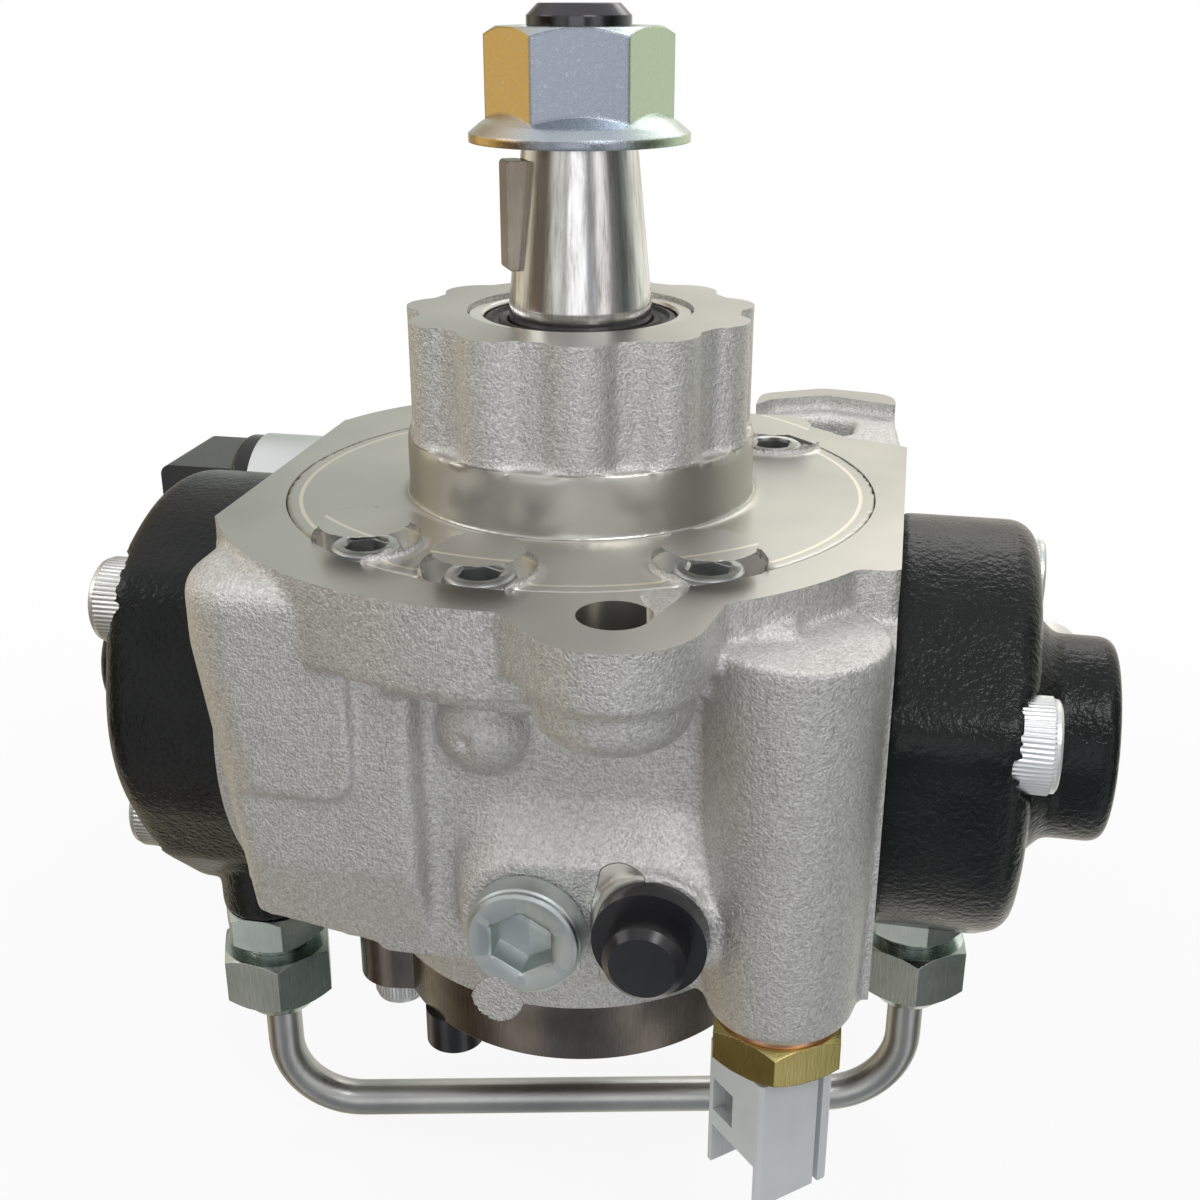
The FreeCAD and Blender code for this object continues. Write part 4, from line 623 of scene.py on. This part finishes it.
def body_casting(node, closed, material):
    """The pump body, with the cover's recess, the chambers, the plunger bore and the plug bore cut again."""
    fills = [
        (COVER_R + 0.35, (0, 0, -COVER_RECESS_DEPTH), (0, 0, 3)), (30.8, (0, 0, -62), (0, 0, -8)),
        (25.6, (0, 0, -72), (0, 0, -58.5)), (18.9, (-50, 0, PLUNGER_Z), (50, 0, PLUNGER_Z)),
        (5.2, (PLUG_X, -60, PLUG_Z), (PLUG_X, -29.5, PLUG_Z))]
    rods = list(closed)
    for angle in MOUNT_ANGLES:
        x, y = polar(MOUNT_R, angle)
        fills.append((MOUNT_HOLE_R, (x, y, -MOUNT_HOLE_DEPTH), (x, y, 3)))
        rods.append((5.2, (x, y, -15.6), (x, y, -MOUNT_HOLE_DEPTH)))
    planes = [(2, 0.0), (0, SIDE_X), (0, -SIDE_X), (2, BODY_REAR)]
    limits = ((-SIDE_X, -FAR, BODY_REAR), (SIDE_X, FAR, 0.0))
    piece = casting(node, "body_casting", fills, planes, BODY_FINENESS, limits, rods, [plug_swell()])
    settle(piece, "pump_body", material, 38)


def cover_casting(node, pockets, material):
    """The front cover, with its bore, seats and screw pockets cut again, and a hub with soft lobes."""
    fills = [
        (10.9, (0, 0, -30), (0, 0, 30)), (13.6, (0, 0, -16.3), (0, 0, 14.3)), (16.6, (0, 0, 19.2), (0, 0, 30))]
    limits = ((-FAR, -FAR, -FAR), (FAR, FAR, HUB_TOP))
    piece = casting(node, "cover_casting", fills + pockets, [(2, HUB_TOP)], COVER_FINENESS, limits)
    soften(piece, lambda place: 9.6 * MM < place.z < 25.0 * MM and math.hypot(place.x, place.y) > 18 * MM, 14)
    settle(piece, "front_cover", material, 38)


def head_casting(side, node, name, material):
    """A plunger head, with its plunger bore and its valve chamber cut again."""
    fills = [
        (5.2, (side * 26, 0, PLUNGER_Z), (side * 58, 0, PLUNGER_Z)),
        (6.8, (side * 56, 0, PLUNGER_Z), (side * 67, 0, PLUNGER_Z))]
    limits = ((-FAR, -FAR, -FAR), (FAR, FAR, FAR))
    piece = casting(node, name + "_casting", fills, [], HEAD_FINENESS, limits)
    settle(piece, name, material, 38)


def castings(frame, materials):
    """The four castings with rounded edges."""
    nodes = frame["nodes"]
    pockets, closed = cover_pockets()
    body_casting(nodes["pump_body"], closed, materials["cast_aluminium"])
    cover_casting(nodes["front_cover"], pockets, materials["cast_aluminium"])
    for side, name in ((1, "right_head"), (-1, "left_head")):
        head_casting(side, nodes[name], name, materials["black_paint"])


def screw_mesh(shape, place, axis, size, teeth, floor_level=None, grip=0.10):
    """Socket screw with a knurled head, its seat at a place and its head along an axis."""
    shank, head_r, height, length, across = size
    socket_floor = height * 0.42 if floor_level is None else floor_level
    sides = teeth * 4
    hex_turn = math.radians(60)

    def hexagon_r(turn):
        return across / 2 / math.cos((turn + hex_turn / 2) % hex_turn - hex_turn / 2)

    def knurled(turn):
        return head_r - 0.01 - grip + grip * math.cos(teeth * turn)

    corner = across / 2 / math.cos(hex_turn / 2)
    levels = [
        (-length, lambda turn: shank - 0.7), (-length + 0.8, lambda turn: shank), (0.0, lambda turn: shank),
        (0.0, lambda turn: head_r - 0.45), (0.25, knurled), (height - 1.1, knurled),
        (height - 0.85, lambda turn: head_r - 0.3), (height - 0.3, lambda turn: head_r - 0.35),
        (height, lambda turn: head_r - 0.75), (height, lambda turn: corner + 0.25),
        (height - 0.35, hexagon_r), (socket_floor, hexagon_r), (socket_floor - 0.5, lambda turn: 0.6)]
    turned_to = Vector((0, 0, 1)).rotation_difference(Vector(axis)).to_matrix()
    loops = []
    for level, radius in levels:
        loop = []
        for step in range(sides):
            turn = 2 * math.pi * step / sides
            spot = Vector((radius(turn) * math.cos(turn), radius(turn) * math.sin(turn), level))
            loop.append(shape.verts.new((turned_to @ spot + Vector(place)) * MM))
        loops.append(loop)
    for low, high in zip(loops, loops[1:]):
        for step in range(sides):
            after = (step + 1) % sides
            shape.faces.new((low[step], low[after], high[after], high[step]))
    shape.faces.new(list(reversed(loops[0])))
    shape.faces.new(loops[-1])


def screws(name, node, places, axis, size, teeth, material, **form):
    """Set of socket screws that stands for a node."""
    shape = bmesh.new()
    for place in places:
        screw_mesh(shape, place, axis, size, teeth, **form)
    settle(made(name, shape), node, material, 32)


def fasteners(materials):
    """All socket screws, and the plug on the front."""
    zinc = materials["zinc"]
    places = [(*polar(COVER_SCREW_R, angle), -6.0) for angle in COVER_SCREW_ANGLES]
    screws("cover_screws", "front_cover_screws", places, (0, 0, 1), M6_SCREW, 48, zinc)
    for side, name in ((1, "right"), (-1, "left")):
        places = [(side * HEAD_BOLT_SEAT_X, side * y, PLUNGER_Z + up) for y, up in HEAD_BOLTS]
        screws(name + "_head_screws", name + "_head_bolts", places, (side, 0, 0), M8_SCREW, 60, zinc)
    places = [(*polar(radius, angle), FEED_COVER_BOTTOM) for angle, radius in FEED_SCREWS]
    screws("rear_cover_screws", "feed_cover_screws", places, (0, 0, -1), M5_SCREW, 44, zinc)
    plug_zinc = plated("zinc_plug", (0.50, 0.55, 0.54), (0.60, 0.64, 0.63), 0.38, 0.012)
    screws("front_plug", "regulator_plug", [(PLUG_X, PLUG_SEAT_Y, PLUG_Z)], (0, -1, 0), FRONT_PLUG, 24,
           plug_zinc, floor_level=0.4, grip=0.0)


def lathed(name, profile, sides=192):
    """Ring about the upright axis from a closed profile of (radius, level)."""
    shape = bmesh.new()
    loops = []
    for step in range(sides):
        turn = 2 * math.pi * step / sides
        loops.append([shape.verts.new(Vector((radius * math.cos(turn), radius * math.sin(turn), level)) * MM)
                      for radius, level in profile])
    for step in range(sides):
        here, there = loops[step], loops[(step + 1) % sides]
        for point in range(len(profile)):
            after = (point + 1) % len(profile)
            shape.faces.new((here[point], there[point], there[after], here[after]))
    bmesh.ops.recalc_face_normals(shape, faces=shape.faces)
    return made(name, shape)


def oil_seal(materials):
    """Lip seal in its metal case."""
    rows = (("oil_seal_case", SEAL_CASE, "ground_steel"), ("oil_seal_lip", SEAL_LIP, "seal_rubber"))
    for name, profile, slot in rows:
        settle(lathed(name, profile), "shaft_oil_seal", materials[slot], 30)


def camera():
    """Camera at the photograph's place and angle."""
    data = bpy.data.cameras.new("camera")
    data.lens = CAMERA_LENS
    data.sensor_width = SENSOR
    data.clip_start = 0.01
    data.clip_end = 20.0
    seen = bpy.data.objects.new("camera", data)
    seen.location = CAMERA_PLACE
    level = math.cos(CAMERA_PITCH)
    ahead = Vector((-math.sin(CAMERA_YAW) * level, math.cos(CAMERA_YAW) * level, -math.sin(CAMERA_PITCH)))
    seen.rotation_euler = ahead.to_track_quat("-Z", "Y").to_euler()
    bpy.context.scene.collection.objects.link(seen)
    bpy.context.scene.camera = seen


def lamp(name, place, aim, width, power):
    """Square soft lamp that points from its place to its aim."""
    data = bpy.data.lights.new(name, "AREA")
    data.shape = "SQUARE"
    data.size = width
    data.energy = power
    source = bpy.data.objects.new(name, data)
    source.location = place
    source.rotation_euler = (Vector(aim) - Vector(place)).to_track_quat("-Z", "Y").to_euler()
    bpy.context.scene.collection.objects.link(source)


def surroundings(tree):
    """Pale studio that glossy surfaces reflect: walls that change with the compass angle under a plain top."""
    place = add(tree, "ShaderNodeTexCoord").outputs["Generated"]
    parts = add(tree, "ShaderNodeSeparateXYZ")
    put(tree, parts.inputs[0], place)
    compass = math_node(tree, "ARCTAN2", parts.outputs["Y"], parts.outputs["X"])
    walls = ramp(tree, span(tree, compass, -math.pi, math.pi), WALLS)
    top = span(tree, parts.outputs["Z"], 0.45, 0.85)
    return mix(tree, top, walls, (0.92, 0.92, 0.92))


def studio():
    """White world for the camera, a pale patterned one for reflections, and soft light for the object."""
    world = bpy.data.worlds.new("studio")
    bpy.context.scene.world = world
    world.use_nodes = True
    tree = world.node_tree
    background = tree.nodes["Background"]
    rays = add(tree, "ShaderNodeLightPath")
    seen = math_node(tree, "MAXIMUM", rays.outputs["Is Camera Ray"], rays.outputs["Is Transmission Ray"])
    shared = mix(tree, rays.outputs["Is Glossy Ray"], (0.44, 0.45, 0.46), surroundings(tree))
    put(tree, background.inputs["Color"], mix(tree, seen, shared, (1.0, 1.0, 1.0)))
    background.inputs["Strength"].default_value = 1.0
    for row in LAMPS:
        lamp(*row)


def floor(low):
    """Pale floor that looks white and keeps the object's shadow."""
    bpy.ops.mesh.primitive_plane_add(size=6.0, location=(0, 0, low))
    plane = bpy.context.object
    plane.name = "floor"
    material, tree, shader = node_tree("floor")
    shader.inputs["Base Color"].default_value = (0.92, 0.92, 0.92, 1.0)
    shader.inputs["Roughness"].default_value = 0.9
    rays = add(tree, "ShaderNodeLightPath")
    light = add(tree, "ShaderNodeEmission")
    light.inputs["Color"].default_value = (1.0, 1.0, 1.0, 1.0)
    share = add(tree, "ShaderNodeMixShader")
    parts = add(tree, "ShaderNodeSeparateXYZ")
    put(tree, parts.inputs[0], object_place(tree))
    across = product(tree, parts.outputs["X"], parts.outputs["X"])
    along = product(tree, parts.outputs["Y"], parts.outputs["Y"])
    away = math_node(tree, "SQRT", math_node(tree, "ADD", across, along))
    white = span(tree, away, 0.12, 0.40, 0.90, 1.0)
    put(tree, share.inputs[0], product(tree, rays.outputs["Is Camera Ray"], white))
    tree.links.new(shader.outputs[0], share.inputs[1])
    tree.links.new(light.outputs[0], share.inputs[2])
    tree.links.new(share.outputs[0], tree.nodes["Material Output"].inputs["Surface"])
    plane.data.materials.append(material)
    plane.visible_glossy = False


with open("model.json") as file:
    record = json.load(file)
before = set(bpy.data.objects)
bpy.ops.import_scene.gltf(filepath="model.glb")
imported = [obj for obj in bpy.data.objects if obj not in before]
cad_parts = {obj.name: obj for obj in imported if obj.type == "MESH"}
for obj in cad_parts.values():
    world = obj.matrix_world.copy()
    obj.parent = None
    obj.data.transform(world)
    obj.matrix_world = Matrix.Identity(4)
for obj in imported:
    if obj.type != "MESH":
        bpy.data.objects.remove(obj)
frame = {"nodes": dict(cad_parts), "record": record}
cad_low, cad_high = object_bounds()
materials = finishes()
dress(frame, materials)
castings(frame, materials)
fasteners(materials)
oil_seal(materials)
camera()
studio()
floor(cad_low.z - 0.5 * MM)
bpy.context.scene.view_settings.view_transform = "Standard"
